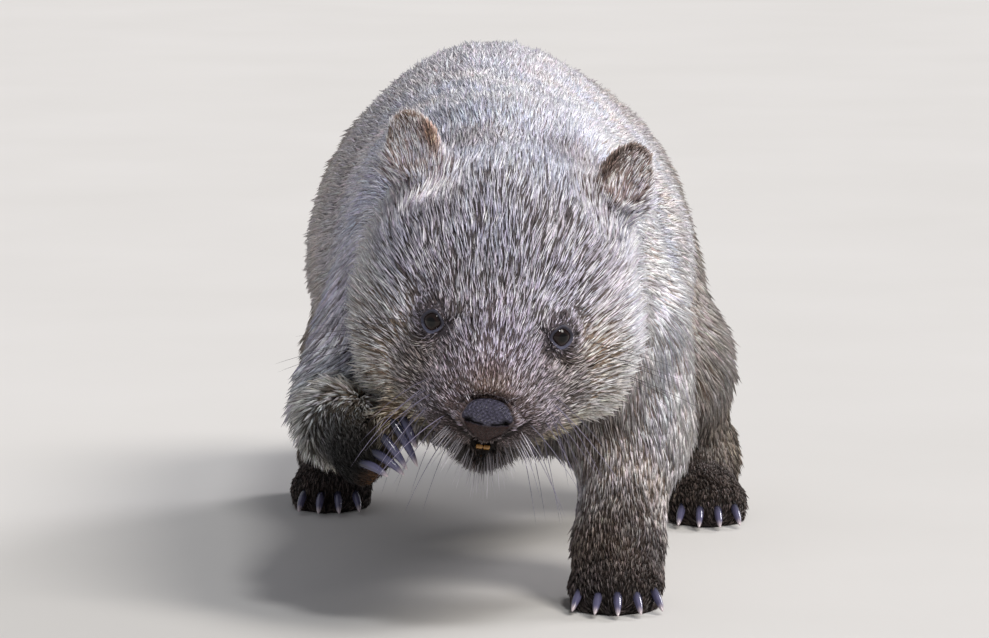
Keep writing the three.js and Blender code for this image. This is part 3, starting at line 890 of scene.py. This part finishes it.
# Agouti fur: dark at the root, pale at the tip, with a soft sheen along each lock, and duller on
# the feet. The bands on single hairs are too fine for the render, so they are drawn as 2.4 mm
# flecks.
def fur_material(name, gloss):
    material, tree, shader = new_material(
        name, 0.45, Specular_IOR_Level=gloss, Sheen_Weight=0.05, Sheen_Roughness=0.5
    )
    colour = add_node(tree, "ShaderNodeVertexColor", {"layer_name": "coat_colour"})
    where = add_node(tree, "ShaderNodeTexCoord").outputs["Object"]
    fleck = add_node(tree, "ShaderNodeTexNoise", Vector=where, Scale=scale_for(2.4), Detail=2.0)
    shade = add_node(
        tree, "ShaderNodeMapRange", Value=fleck.outputs["Fac"], From_Min=0.3, From_Max=0.7,
        To_Min=0.78, To_Max=1.18,
    )
    mixed = add_node(
        tree, "ShaderNodeVectorMath", {"operation": "SCALE"}, Scale=shade.outputs["Result"]
    )
    tree.links.new(colour.outputs["Color"], mixed.inputs[0])
    tree.links.new(mixed.outputs["Vector"], shader.inputs["Base Color"])
    return material


# The coat: a lock is a closed four-sided sliver that rises from a point at its root, is widest at
# its bend and lies down to a point at its tip. Its points: root, left and right of the bend, tip.
LOCK_FACES = np.array([(0, 1, 2), (1, 3, 2), (0, 3, 1), (0, 2, 3)])
LOCK_MAP = np.array([(0, -1), (-1, 0), (1, 0), (0, 1)]) * 0.0015
LOCK_POINTS = 4
ROOT_DEPTH = 0.0006
# A square metre in square centimetres
SQUARE_METRE = 1e4

# How single locks differ: shares of their length and width, angles in radians, waves in metres
LENGTH_RANGE = (0.75, 1.08)
WIDTH_RANGE = (0.75, 1.2)
BEND_RANGE = (0.10, 0.22)
BEND_PLACE = (0.36, 0.5)
RISE_RANGE = (0.03, 1.2)
CURL = 0.06
BROAD_WAVE = 0.030
SHORT_WAVE = 0.011
# The guard hairs' length, width and steepness, and the under-fur's, as shares of the chart's
GUARD_OR_UNDER_LENGTH = (1.08, 0.85)
GUARD_OR_UNDER_WIDTH = (1.0, 1.35)
GUARD_OR_UNDER_RISE = (1.05, 0.82)

# Hair over this length, in millimetres, has less contrast with each millimetre, but the forearm's
# long hair is shaggy and keeps it
STREAKED_LENGTH = 18
EVENING = 0.08
SHAGGY_REACH = 0.075
SHAGGY_CONTRAST = 0.7
CONTRAST_RANGE = (0.36, 1.0)

# Light and dark in the coat: patches and tufts, in metres, and single hairs
PATCH_WAVE = 0.045
PATCH_LIGHT = 0.10
TUFT_WAVE = 0.012
TUFT_LIGHT = 0.07
HAIR_GLINT = 0.62
GLINT_RANGE = (0.4, 2.4)
UNDER_DIMMING = 0.55
COOL_TIP = (0.99, 1.0, 1.04)
WARM_UNDER = (1.08, 0.98, 0.90)
COOL_DRIFT = np.array((-0.035, -0.01, 0.03))
COOL_WAVE = 0.060
HAIR_TINT = 0.03


class Hide:
    """The skin's triangles, as arrays to plant locks on."""

    def __init__(self, skin):
        mesh = skin.data
        mesh.calc_loop_triangles()
        count = len(mesh.loop_triangles)
        corners = np.empty(count * 3, np.int32)
        mesh.loop_triangles.foreach_get("vertices", corners)
        loops = np.empty(count * 3, np.int32)
        mesh.loop_triangles.foreach_get("loops", loops)
        uv = np.empty(len(mesh.loops) * 2, np.float32)
        mesh.uv_layers["OFBake"].data.foreach_get("uv", uv)
        self.corners = corners.reshape(-1, 3)
        self.places = points_of(skin)
        self.normals = normals_of(skin)
        self.uv = uv.reshape(-1, 2)[loops].reshape(-1, 3, 2)
        a, b, c = (self.places[self.corners[:, n]] for n in range(3))
        self.middles = (a + b + c) / 3
        area = np.linalg.norm(np.cross(b - a, c - a), axis=1) / 2
        density = coat_at(self.middles)[0][:, 2] * SQUARE_METRE
        self.locks = area * density

    def plant(self, chosen):
        """Random roots on the chosen triangles: places, normals and map places."""
        wanted = self.locks * chosen
        count = int(wanted.sum())
        picked = rng.choice(len(wanted), size=count, p=wanted / wanted.sum())
        s = np.sqrt(rng.random(count))[:, None]
        t = rng.random(count)[:, None]
        shares = np.hstack([1 - s, s * (1 - t), s * t])
        corners = self.corners[picked]
        places = (self.places[corners] * shares[:, :, None]).sum(axis=1)
        normals = (self.normals[corners] * shares[:, :, None]).sum(axis=1)
        normals /= np.linalg.norm(normals, axis=1)[:, None]
        return places, normals, (self.uv[picked] * shares[:, :, None]).sum(axis=1)


# The bare edges: millimetres of lip, metres of sole, and shares of the lids' opening and nose pad
BARE_LIP = 0.8
BARE_LIP_IN_MIDDLE = 1.2
BARE_SOLE = 0.003
BARE_LID = 1.33
BARE_NOSE = 0.93


def is_bare(places):
    """Where no hair grows: eyes, lips, nose pad and soles."""
    q = to_head(places)
    bare = lip_distance(places) < BARE_LIP + BARE_LIP_IN_MIDDLE * fade(q[:, 0], 10)
    bare |= places[:, 2] < BARE_SOLE
    for side in EYES:
        distance, opening = eye_angles(places, side)
        bare |= (distance < LID_REACH) & (opening < BARE_LID)
    share, _ = nose_share(q)
    return bare | ((share < BARE_NOSE) & (seen_reach(q) > FRONT_OF_HEAD))


EYE_HAIR_REACH = 0.026
SHORTEST_AT_EYE = 0.45
TURN_AT_EYE = 1.6


def part_round_eyes(places, length, lie):
    """Turns the hair round the eyes away from them, and gives its shorter lengths."""
    for side in EYES:
        distance, opening = eye_angles(places, side)
        close = (distance < EYE_HAIR_REACH) & (opening < 3)
        share = SHORTEST_AT_EYE + (1 - SHORTEST_AT_EYE) * step(opening, 1.4, 2.4)
        length = np.where(close, length * share, length)
        outward = unit(places - np.array(EYES[side]))
        lie += outward * (TURN_AT_EYE * fade(opening - 1.2, 1.0) * close)[:, None]
    return length


def lock_points(places, normals, lie, numbers, guard):
    """The four points of each lock, laid along the coat and bent halfway."""
    count = len(places)
    length, width, _, lift = numbers
    drift = ripple(places, BROAD_WAVE, 11)
    wander = ripple(places, SHORT_WAVE, 12)
    along = unit(lie - normals * (lie * normals).sum(axis=1)[:, None])
    aside = np.cross(normals, along)
    swing = 0.11 * drift + 0.07 * wander + 0.08 * rng.normal(size=count)
    along = unit(along + aside * swing[:, None])
    aside = np.cross(normals, along)
    reach = length * MM * rng.uniform(*LENGTH_RANGE, count)
    reach *= np.where(guard, *GUARD_OR_UNDER_LENGTH)
    half = width * MM / 2 * rng.uniform(*WIDTH_RANGE, count)
    half *= np.where(guard, *GUARD_OR_UNDER_WIDTH)
    rise = np.radians(lift) * (1 + 0.12 * wander + 0.15 * rng.normal(size=count))
    rise = np.clip(rise * np.where(guard, *GUARD_OR_UNDER_RISE), *RISE_RANGE)
    bend = rng.uniform(*BEND_RANGE, count)
    share = rng.uniform(*BEND_PLACE, count)
    curl = CURL * rng.normal(size=count)
    first = along * np.cos(rise + bend)[:, None] + normals * np.sin(rise + bend)[:, None]
    second = along * np.cos(rise - bend)[:, None] + normals * np.sin(rise - bend)[:, None]
    second = unit(second + aside * curl[:, None])
    middle = places + first * (reach * share)[:, None]
    tip = middle + second * (reach * (1 - share))[:, None]
    sides = aside * half[:, None]
    root = places - normals * ROOT_DEPTH
    points = np.stack([root, middle - sides, middle + sides, tip], axis=1)
    points[:, :, 2] = np.maximum(points[:, :, 2], SOLE_HEIGHT)
    return points


def lock_shades(places, roots, tips, contrast, guard):
    """The colour of each point of each lock: guard hairs glint, and the under-fur stays dark."""
    count = len(places)
    patches = PATCH_LIGHT * ripple(places, PATCH_WAVE, 21)
    light = 1 + patches + TUFT_LIGHT * ripple(places, TUFT_WAVE, 22)
    glint = np.exp(HAIR_GLINT * contrast * rng.normal(size=count))
    bright = light * np.clip(glint, *GLINT_RANGE)
    dim = light * (1 - UNDER_DIMMING * contrast * rng.uniform(0, 1, count))
    cool = ripple(places, COOL_WAVE, 23)
    paler = (0.46 - 0.28 * contrast)[:, None]
    is_guard = guard[:, None]
    under = (roots + (tips - roots) * paler) * dim[:, None]
    pale = np.where(is_guard, tips * bright[:, None], under)
    guard_body = roots * 0.25 + tips * 0.75 * np.sqrt(glint)[:, None]
    body = np.where(is_guard, guard_body, roots * 0.9 + tips * 0.1) * light[:, None]
    tint = np.where(is_guard, COOL_TIP, WARM_UNDER)
    tint = tint * (1 + rng.normal(size=(count, 3)) * HAIR_TINT) * (1 + cool[:, None] * COOL_DRIFT)
    return np.stack([roots * 0.6, body, body, pale], axis=1) * tint[:, None, :]


def grow(name, hide, chosen):
    """One piece of the coat on the chosen triangles: dark under-fur and pale-tipped guard hairs."""
    places, normals, uv = hide.plant(chosen)
    kept = ~is_bare(places)
    places, normals, uv = places[kept], normals[kept], uv[kept]
    numbers, lie, roots, tips = coat_at(places)
    numbers = numbers.T.copy()
    shaggy = fade(distance_to(places, FOREARM), SHAGGY_REACH)
    contrast = 1.0 - EVENING * (numbers[0] - STREAKED_LENGTH) + SHAGGY_CONTRAST * shaggy
    contrast = np.clip(contrast, *CONTRAST_RANGE)
    numbers[0] = part_round_eyes(places, numbers[0], lie)
    guard = rng.random(len(places)) < 0.52 - 0.28 * contrast
    points = lock_points(places, normals, lie, numbers, guard)
    return lock_mesh(name, points, lock_shades(places, roots, tips, contrast, guard), uv)


def lock_mesh(name, points, colours, uv):
    """Every lock of one piece as one mesh, mapped onto the skin's own map."""
    count = len(points)
    mesh = bpy.data.meshes.new(name)
    faces = (LOCK_FACES[None] + (np.arange(count) * LOCK_POINTS)[:, None, None]).reshape(-1, 3)
    mesh.vertices.add(count * LOCK_POINTS)
    mesh.vertices.foreach_set("co", points.astype(np.float32).ravel())
    mesh.loops.add(len(faces) * 3)
    mesh.loops.foreach_set("vertex_index", faces.astype(np.int32).ravel())
    mesh.polygons.add(len(faces))
    mesh.polygons.foreach_set("loop_start", np.arange(0, len(faces) * 3, 3, dtype=np.int32))
    layer = mesh.uv_layers.new(name="OFBake")
    spots = (uv[:, None, :] + LOCK_MAP[None]).astype(np.float32)
    layer.data.foreach_set("uv", spots.reshape(-1, 2)[faces.ravel()].ravel())
    mesh.update()
    piece = place_mesh(mesh)
    paint(piece, colours.reshape(-1, 3))
    return piece


# Where the coat is parted into pieces, along, across and above the row frame, in metres
FOOT_TOP = 0.052
PAW_REACH = 0.036
HEAD_BACK = -0.250
ARM_BACK = -0.02
ARM_TOP = 0.145
RAISED_ARM_BACK = -0.20
RAISED_ARM_INSIDE = -0.08
RAISED_ARM_TOP = 0.185
LEG_FRONT = 0.10
LEG_TOP = 0.150
LEG_INSIDE = 0.075
SHOULDER_BACK = 0.0
FLANK_BACK = 0.22
# The same along and above the head, in its own millimetres
MUZZLE_BACK = -8
FACE_BACK = 42
HEAD_LOW = -60


def coat_regions(hide):
    """The skin's triangles shared out among the pieces of the coat."""
    middles = hide.middles
    x, y, z = middles.T
    _, along_head, above_head = to_head(middles).T
    ears = near_ears(middles, 3)
    feet = (z < FOOT_TOP) | (distance_to(middles, PAW_MIDDLE) < PAW_REACH)
    raised = (y < RAISED_ARM_BACK) & (x < RAISED_ARM_INSIDE) & (z < RAISED_ARM_TOP)
    raised &= ~feet & (above_head < HEAD_LOW)
    front = (y < HEAD_BACK) & ~feet & ~ears
    arms = (y < ARM_BACK) & ~front & ~feet & (z < ARM_TOP) | raised
    head = front & ~raised
    legs = (y > LEG_FRONT) & (z < LEG_TOP) & (np.abs(x - MIDLINE) > LEG_INSIDE) & ~feet
    rest = ~(ears | feet | head | arms | legs)
    shoulders = rest & (y < SHOULDER_BACK)
    flanks = rest & (y >= SHOULDER_BACK) & (y < FLANK_BACK)
    left = x > MIDLINE
    return {
        "coat_muzzle": head & (along_head < MUZZLE_BACK),
        "coat_face": head & (along_head >= MUZZLE_BACK) & (along_head < FACE_BACK),
        "coat_crown": head & (along_head >= FACE_BACK),
        "coat_ears": ears & ~feet,
        "coat_left_shoulder": shoulders & left,
        "coat_right_shoulder": shoulders & ~left,
        "coat_left_flank": flanks & left,
        "coat_right_flank": flanks & ~left,
        "coat_rump": rest & (y >= FLANK_BACK),
        "coat_forelegs": arms & ~ears,
        "coat_hind_legs": legs,
        "coat_feet": feet,
    }


# The eyeballs: angles from the line through the pupil, in radians, and the cornea's bulge
CORNEA_BULGE = 0.07
CORNEA_SPREAD = 0.62
PUPIL_EDGE = (0.30, 0.38)
IRIS_EDGE = (0.78, 0.86)


def make_eye(side):
    """A round eyeball with a bulging cornea, its iris painted as rings round the pupil and paler on
    its lower side as painted light, a glow through the cornea.
    """
    eye = add_ball(48, 32, EYE_RADIUS)
    eye.name = f"{side}_eyeball"
    aim, across, up = eye_frame(side)
    turn = np.array([across, up, aim])
    local = points_of(eye)
    x, y, z = local.T
    angle = np.arctan2(np.hypot(x, y), z)
    bulge = 1 + CORNEA_BULGE * fade(angle, CORNEA_SPREAD)
    move_points(eye, (local * bulge[:, None]) @ turn + np.array(EYES[side]))
    pupil = np.array(linear("#050404"))
    rays = 1 + 0.3 * np.sin(23 * np.arctan2(y, x))
    # Painted light: the iris is painted paler on its lower side, as a glow of light through the
    # cornea.
    low = (local @ turn) @ EYE_DOWN / EYE_RADIUS
    iris_and_painted_glow = np.array(linear("#1c110d")) * (1 + 2.2 * step(low, 0.1, 0.6))[:, None]
    colour = pupil + (iris_and_painted_glow * rays[:, None] - pupil) * step(angle, *PUPIL_EDGE)[:, None]
    tone(colour, "#1d1414", step(angle, *IRIS_EDGE))
    paint(eye, colour)
    shade_smooth(eye)
    return eye


# Cornea over a dark brown iris: wet, clear and mirror-smooth
def eye_material():
    return painted_material("wet_eye", 0.02, IOR=1.376)[0]


# The nose pad's slits, nostrils and wings, in square-on millimetres; depths go into the pad
SLIT_HEIGHT = -66.4
SLIT_RISE = 2.0
SLIT_DEPTH = 2.4
NOSTRIL = (12.5, -63.8)
NOSTRIL_DEPTH = 3.0
WING_PROUD = 0.9
WING_ABOVE_SLIT = 3.2
LOWER_DEPTH = 1.2
MIDDLE_GROOVE = 0.9
CROWN_PROUD = 0.5
CROWN_HEIGHT = -55.0
COBBLE_DEPTH = 0.12
PAD_BACK = 4.0


def make_nose():
    """A shield of bare leather with two slit nostrils, smoother below them; that lower part is
    reddish brown painted darker still as painted shade, and the slits and nostrils are painted near
    black as painted shade.
    """
    nose = add_ball(160, 110)
    nose.name = "nose_pad"
    x, y, level = points_of(nose).T
    ring = np.maximum(np.hypot(x, y), 1e-6)
    turned = -y / ring
    across = nose_outline(np.clip(level, -0.999, 0.995)) * x / ring * step(ring, 0.0, 0.02)
    height = NOSE_HEIGHT + NOSE_HALF_HEIGHT * level
    depth = np.sign(turned) * np.abs(turned) ** 0.2
    reach = NOSE_BACK + (nose_face(level) - NOSE_BACK) * np.maximum(depth, 0)
    reach += PAD_BACK * np.minimum(depth, 0)
    side = np.abs(across)
    front = step(turned, 0.02, 0.25)
    slit_height = SLIT_HEIGHT + SLIT_RISE * (side / 15) ** 1.5
    slit = fade(height - slit_height, 0.75) * step(side, 1.5, 4.0)
    comma = fade(np.hypot((side - NOSTRIL[0]) / 1.4, height - NOSTRIL[1]), 1.7)
    wing = fade(height - slit_height - WING_ABOVE_SLIT, 2.0) * step(side, 5, 10)
    below = step(slit_height - height, 0, 2.0)
    groove = fade(across, 0.7) * step(-height, 68.0, 71.0)
    crown = fade(across, 9.0) * fade(height - CROWN_HEIGHT, 6.0)
    dent = SLIT_DEPTH * slit + NOSTRIL_DEPTH * comma + LOWER_DEPTH * below
    dent += MIDDLE_GROOVE * groove - WING_PROUD * wing - CROWN_PROUD * crown
    flat = np.stack([across, height, across * 0], axis=1)
    cobble = COBBLE_DEPTH * ripple(flat, 1.9, 33)
    reach -= front * (dent + cobble * (1 - below))
    q = from_seen(across, height, reach)
    move_points(nose, from_head(q))
    leather = np.array(linear("#413f4e")) * np.exp(0.5 * ripple(q, 2.2, 31))[:, None]
    # Below the slits the leather is moist reddish brown, painted darker still as painted shade
    # where the pad turns under.
    bare = np.array(linear("#2b100b")) * (1 + 0.25 * ripple(q, 3.0, 32))[:, None]
    leather += (bare - leather) * (below * front)[:, None]
    # Painted shade: the slits and nostrils near black in their hollows.
    tone(leather, "#070505", np.clip(front * (slit + comma), 0, 1))
    paint(nose, leather)
    shade_smooth(nose)
    return nose


# Nose leather: cobbled, a little moist, so it glints between the cobbles, which are 1.3 mm across
def nose_material():
    material, tree, shader = painted_material("nose_leather", 0.30, Specular_IOR_Level=0.3)
    where = add_node(tree, "ShaderNodeTexCoord").outputs["Object"]
    edges = {"feature": "DISTANCE_TO_EDGE"}
    cobble = add_node(tree, "ShaderNodeTexVoronoi", edges, Vector=where, Scale=scale_for(1.3))
    rounded = add_node(
        tree, "ShaderNodeMapRange", Value=cobble.outputs["Distance"], From_Max=0.35
    )
    bump = add_node(
        tree, "ShaderNodeBump", Strength=0.8, Distance=0.7 * MM, Height=rounded.outputs["Result"]
    )
    tree.links.new(bump.outputs["Normal"], shader.inputs["Normal"])
    return material


# The claws: a share of a claw's length is buried in its toe
CLAW_RADIUS = 0.0032
CLAW_BURIED = 0.14


def claws_of(foot):
    return [node for node in CLAW_NODES if node.startswith(foot + "_claw")]


def make_claw(node):
    """One claw: a round horn that tapers to its tip and bends as its solid does."""
    root, tip = (np.array(end) for end in claw_line(node))
    axis = tip - root
    solid = points_of(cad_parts[node])
    along = (solid - root) @ axis / (axis @ axis)
    waist = (along > 0.25) & (along < 0.75)
    t = along[waist].mean()
    bow = (solid[waist].mean(axis=0) - root - axis * t) / (4 * t * (1 - t))
    claw = add_ball(20, 28)
    x, y, z = points_of(claw).T
    angle = np.arctan2(y, x)
    share = (z + 1) / 2 * (1 + CLAW_BURIED) - CLAW_BURIED
    inner = np.clip(share, 0, 1)
    taper = (1 - inner**3.2) ** 0.65 * (0.4 + 0.6 * step(share, -CLAW_BURIED, 0.10))
    radius = CLAW_RADIUS * taper * step(z, -1, -0.96)
    across = unit(np.cross(axis, (0.3, 0.2, 1.0)))
    upward = unit(np.cross(across, axis))
    line = root + axis * share[:, None] + bow * (4 * share * (1 - share))[:, None]
    ring = across * np.cos(angle)[:, None] + upward * np.sin(angle)[:, None]
    move_points(claw, line + ring * radius[:, None])
    colour = np.zeros((len(share), 3)) + linear("#1c1e2a")
    tone(colour, "#5a5873", step(share, 0.05, 0.65))
    tone(colour, "#cdbfc2", step(share, 0.76, 1.0))
    streak = 1 + 0.25 * np.sin(angle * 9 + 3 * share) * np.sin(angle * 4 + 1)
    paint(claw, colour * streak[:, None])
    return claw


def make_claws(foot):
    """The claws of one foot as one piece."""
    claws = join_pieces([make_claw(node) for node in claws_of(foot)], foot + "_claws")
    shade_smooth(claws)
    return claws


# Claw horn: hard keratin, polished by digging, with fine wear that is drawn 0.9 mm coarse to show
def claw_material():
    material, tree, shader = painted_material("claw_horn", 0.12, IOR=1.56)
    where = add_node(tree, "ShaderNodeTexCoord").outputs["Object"]
    wear = add_node(tree, "ShaderNodeTexNoise", Vector=where, Scale=scale_for(0.9), Detail=4.0)
    bump = add_node(
        tree, "ShaderNodeBump", Strength=0.15, Distance=0.2 * MM, Height=wear.outputs["Fac"]
    )
    tree.links.new(bump.outputs["Normal"], shader.inputs["Normal"])
    return material


# The incisors, in the head's millimetres
TOOTH_SIZE = (4.5, 2.6, 16)
TOOTH_PLACE = (2.45, -68, -52)
TOOTH_LEAN = math.radians(49)
TOOTH_EDGE = 0.8


def make_incisors():
    """The pair of lower incisors, each a worn chisel with a bevelled edge."""
    pair = []
    across, along, up = TOOTH_PLACE
    lean = HEAD_TURN.to_4x4() @ Matrix.Rotation(TOOTH_LEAN, 4, "X")
    size = Matrix.Diagonal([length * MM for length in TOOTH_SIZE] + [1])
    for side in (-1, 1):
        bpy.ops.mesh.primitive_cube_add(size=1)
        tooth = bpy.context.object
        set_down(tooth, Matrix.Translation(on_head((side * across, along, up))) @ lean @ size)
        finish_modifier(tooth, "BEVEL", width=TOOTH_EDGE * MM, segments=4)
        pair.append(tooth)
    teeth = join_pieces(pair, "lower_incisor_pair")
    shade_smooth(teeth)
    return teeth


# Tooth enamel: glossy, and stained amber in clouds about 2.9 mm across
def enamel_material():
    material, tree, shader = new_material("amber_enamel", 0.22, IOR=1.62)
    where = add_node(tree, "ShaderNodeTexCoord").outputs["Object"]
    stain = add_node(tree, "ShaderNodeTexNoise", Vector=where, Scale=scale_for(2.9), Detail=3.0)
    ramp = add_node(tree, "ShaderNodeValToRGB", Fac=stain.outputs["Fac"])
    ramp.color_ramp.elements[0].color = (*linear("#6b4518"), 1)
    ramp.color_ramp.elements[1].color = (*linear("#b98a48"), 1)
    tree.links.new(ramp.outputs["Color"], shader.inputs["Base Color"])
    return material


# Whiskers and bristles: each is given by its root and way on the head, its length and radius in
# millimetres, its sag as a share of its length, and its colour
WHISKER_STEPS = 7
WHISKER_TAPER = 0.75
BRISTLES = 95
DOWN = np.array((0, 0, -1))


def hair_shaft(start, direction, length, radius, sag):
    """Points and faces of one closed three-sided hair that bends down towards its tip."""
    way = unit(direction)
    side = unit(np.cross(way, (0.0, 0.1, 1.0)))
    up = np.cross(side, way)
    points = []
    for n in range(WHISKER_STEPS):
        t = n / WHISKER_STEPS
        middle = start + way * length * t + DOWN * sag * length * t * t
        for corner in range(3):
            angle = 2 * math.pi * corner / 3
            r = radius * (1 - WHISKER_TAPER * t)
            points.append(middle + side * r * math.cos(angle) + up * r * math.sin(angle))
    points.append(start + way * length + DOWN * sag * length)
    last = WHISKER_STEPS * 3
    faces = [(0, 2, 1)]
    for n in range(WHISKER_STEPS - 1):
        for corner in range(3):
            a, b = n * 3 + corner, n * 3 + (corner + 1) % 3
            faces += [(a, b, b + 3), (a, b + 3, a + 3)]
    for corner in range(3):
        faces.append((last - 3 + corner, last - 3 + (corner + 1) % 3, last))
    return points, faces


def front_of_head(hide, across, height):
    """The place on the head's front at square-on measures."""
    q = to_head(hide.places)
    away = np.hypot(q[:, 0] - across, seen_height(q) - height)
    return q[np.argmax(seen_reach(q) - 8 * away)]


def snout_whiskers(side):
    """Four rows of four long whiskers on one side of the snout."""
    for row in range(4):
        colour = "#6b6679" if row > 1 else "#928ba2"
        for place in range(4):
            root = (side * (22 + 4 * place), -66 + 7 * place, -24 - 4.5 * row + 2 * place)
            way = (side * (0.75 - 0.12 * row), -0.28 + 0.10 * place, -0.45 - 0.20 * row)
            length = (50 + 6 * place - 3 * row) * rng.uniform(0.75, 1.2)
            yield root, way, length, 0.40, 0.34, colour


def cheek_whiskers(side):
    """Seven straight hairs down one cheek."""
    for n in range(7):
        root = (side * (58 + 4 * n), 2 + 6 * n, -8 - 8 * n)
        way = (side * 1.0, -0.12, 0.10 - 0.07 * n)
        yield root, way, 62 * rng.uniform(0.75, 1.1), 0.30, 0.10, "#3b3640"


def brow_hairs(side):
    """Three short hairs over one eye."""
    for n in range(3):
        yield (side * (32 + 5 * n), -6, 30), (side * 0.5, -0.5, 1), 24, 0.2, 0.05, "#3b3640"


def chin_bristles(hide):
    """Pale bristles that fan out under the lower lip."""
    for _ in range(BRISTLES):
        spread = rng.uniform(-1, 1)
        x = LIP_CORNER * spread
        root = front_of_head(hide, x, lip_line(x) - rng.uniform(4.0, 13.0))
        way = (0.9 * spread + rng.uniform(-0.15, 0.15), -1.0 + rng.uniform(-0.2, 0.2), -0.5)
        yield root, way, rng.uniform(16, 30), 0.30, 0.10, "#c9c4cb"


def all_whiskers(hide):
    """The long hairs of both sides, then the bristles."""
    hairs = []
    for side in (-1, 1):
        hairs += [*snout_whiskers(side), *cheek_whiskers(side), *brow_hairs(side)]
    return hairs + list(chin_bristles(hide))


def make_whiskers(hide):
    """Joins the long hairs into one piece, each rooted in the skin's nearest point."""
    points, faces, shades = [], [], []
    for root, way, length, radius, sag, colour in all_whiskers(hide):
        nearest = np.argmin(distance_to(hide.places, np.array(on_head(root))))
        start = hide.places[nearest] - hide.normals[nearest] * MM
        turned = np.array(HEAD_TURN @ Vector(way))
        hair, sides = hair_shaft(start, turned, length * MM, radius * MM, sag)
        faces += [tuple(corner + len(points) for corner in face) for face in sides]
        points += hair
        shade = np.array(linear(colour)) * rng.uniform(0.6, 1.3)
        shades += [shade * (0.55 + 0.75 * n / len(hair)) for n in range(len(hair))]
    mesh = bpy.data.meshes.new("whiskers")
    mesh.from_pydata([tuple(p) for p in points], [], faces)
    mesh.update()
    whiskers = place_mesh(mesh)
    paint(whiskers, np.array(shades))
    shade_smooth(whiskers)
    return whiskers


# Whisker: stiff, smooth hair with a clear gloss
def whisker_material():
    return painted_material("whisker_hair", 0.35, Specular_IOR_Level=0.5)[0]


def finish_piece(piece, material, slot, *nodes):
    """Gives a piece its material and its body, and hides the CAD nodes that it stands for; the slot
    is not used.
    """
    piece.data.materials.clear()
    piece.data.materials.append(material)
    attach(piece, "root")
    if nodes:
        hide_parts(*nodes)


# The skin, from rough to fine
skin = make_skin()
flatten_soles(skin)
unwrap(skin)
refine(skin, near_ears, 1)
refine(skin, near_eyes, 3)
refine(skin, near_lips, 2)
refine(skin, near_nose, 1)
shape_ears(skin)
shape_face(skin)
shape_nose_bed(skin)
shape_mouth(skin)
raise_sockets(skin)
shape_lids(skin)
paint_skin(skin)
shade_smooth(skin)
finish_piece(skin, hide_material(), "coat", *FLESH)

# The coat
hide = Hide(skin)
fur = fur_material("agouti_fur", 0.5)
foot_fur = fur_material("dark_foot_fur", 0.22)
SLOTS = {
    "coat_muzzle": "face_fur", "coat_face": "face_fur", "coat_crown": "face_fur",
    "coat_ears": "ear_fur", "coat_feet": "paw",
}
for name, chosen in coat_regions(hide).items():
    material = foot_fur if name == "coat_feet" else fur
    finish_piece(grow(name, hide, chosen), material, SLOTS.get(name, "coat"))

# Eyes, nose, claws, teeth and whiskers
wet = eye_material()
for side in EYES:
    finish_piece(make_eye(side), wet, "eye", f"{side}_eye")

finish_piece(make_nose(), nose_material(), "nose_leather", "nose")

horn = claw_material()
for foot in ("left_forefoot", "right_forefoot", "left_hind_foot", "right_hind_foot"):
    finish_piece(make_claws(foot), horn, "claw", *claws_of(foot))

finish_piece(make_incisors(), enamel_material(), "tooth", "lower_incisors")
finish_piece(make_whiskers(hide), whisker_material(), "face_fur")


# Matt floor paint: pale and dull, with faint clouds about 330 mm across, so that it isn't flat
def floor_material():
    material, tree, shader = new_material("matt_floor_paint", 0.85, Specular_IOR_Level=0.1)
    where = add_node(tree, "ShaderNodeTexCoord").outputs["Object"]
    mottle = add_node(tree, "ShaderNodeTexNoise", Vector=where, Scale=scale_for(330), Detail=4.0)
    ramp = add_node(tree, "ShaderNodeValToRGB", Fac=mottle.outputs["Fac"])
    ramp.color_ramp.elements[0].color = (*linear("#cfcdc9"), 1)
    ramp.color_ramp.elements[1].color = (*linear("#d8d6d3"), 1)
    tree.links.new(ramp.outputs["Color"], shader.inputs["Base Color"])
    return material


# Floor, light and camera
FLOOR_SIZE = 160


def make_floor():
    bpy.ops.object.select_all(action="DESELECT")
    bpy.ops.mesh.primitive_plane_add(size=FLOOR_SIZE)
    floor = bpy.context.object
    floor.name = "floor"
    floor.data.materials.append(floor_material())


def add_sun(name, place, softness, strength, colour):
    """A soft light from far off at a place, as wide as its softness in degrees."""
    light = bpy.data.lights.new(name, "SUN")
    light.angle = math.radians(softness)
    light.energy = strength
    light.color = linear(colour)
    lamp = bpy.data.objects.new(name, light)
    bpy.context.scene.collection.objects.link(lamp)
    lamp.rotation_euler = (-Vector(place)).to_track_quat("-Z", "Y").to_euler()


make_floor()
add_sun("key_light", (1.0, -0.75, 1.4), 22, 1.75, "#fffaf4")
add_sun("core_light", (0.35, -1.0, 1.45), 10, 0.95, "#ffffff")
add_sun("rim_light", (1.6, 1.5, 1.3), 20, 1.3, "#fdfbff")

world = bpy.data.worlds.new("studio")
bpy.context.scene.world = world
world.use_nodes = True
sky = world.node_tree.nodes["Background"]
sky.inputs["Color"].default_value = (*linear("#e4e6ee"), 1)
sky.inputs["Strength"].default_value = 0.42

# The camera stands 4 m off, a little above the animal, and looks between its eyes
CAMERA_DISTANCE = 4.0
AIM_OFFSET = Vector((-0.0017, 0.0, 0.0048))
HALF_VIEW = math.radians(9.61 / 2)
SENSOR_WIDTH = 36
FARTHEST_SEEN = 300

camera_data = bpy.data.cameras.new("camera")
camera = bpy.data.objects.new("camera", camera_data)
bpy.context.scene.collection.objects.link(camera)
bpy.context.scene.camera = camera
camera_data.sensor_width = SENSOR_WIDTH
camera_data.lens = SENSOR_WIDTH / 2 / math.tan(HALF_VIEW)
camera_data.clip_end = FARTHEST_SEEN
back_off = Vector((0, -math.cos(CAMERA_RISE), math.sin(CAMERA_RISE))) * CAMERA_DISTANCE
camera.location = HEAD_ORIGIN + AIM_OFFSET + back_off
camera.rotation_euler = (-back_off).to_track_quat("-Z", "Y").to_euler()
bpy.context.scene.view_settings.view_transform = "Standard"
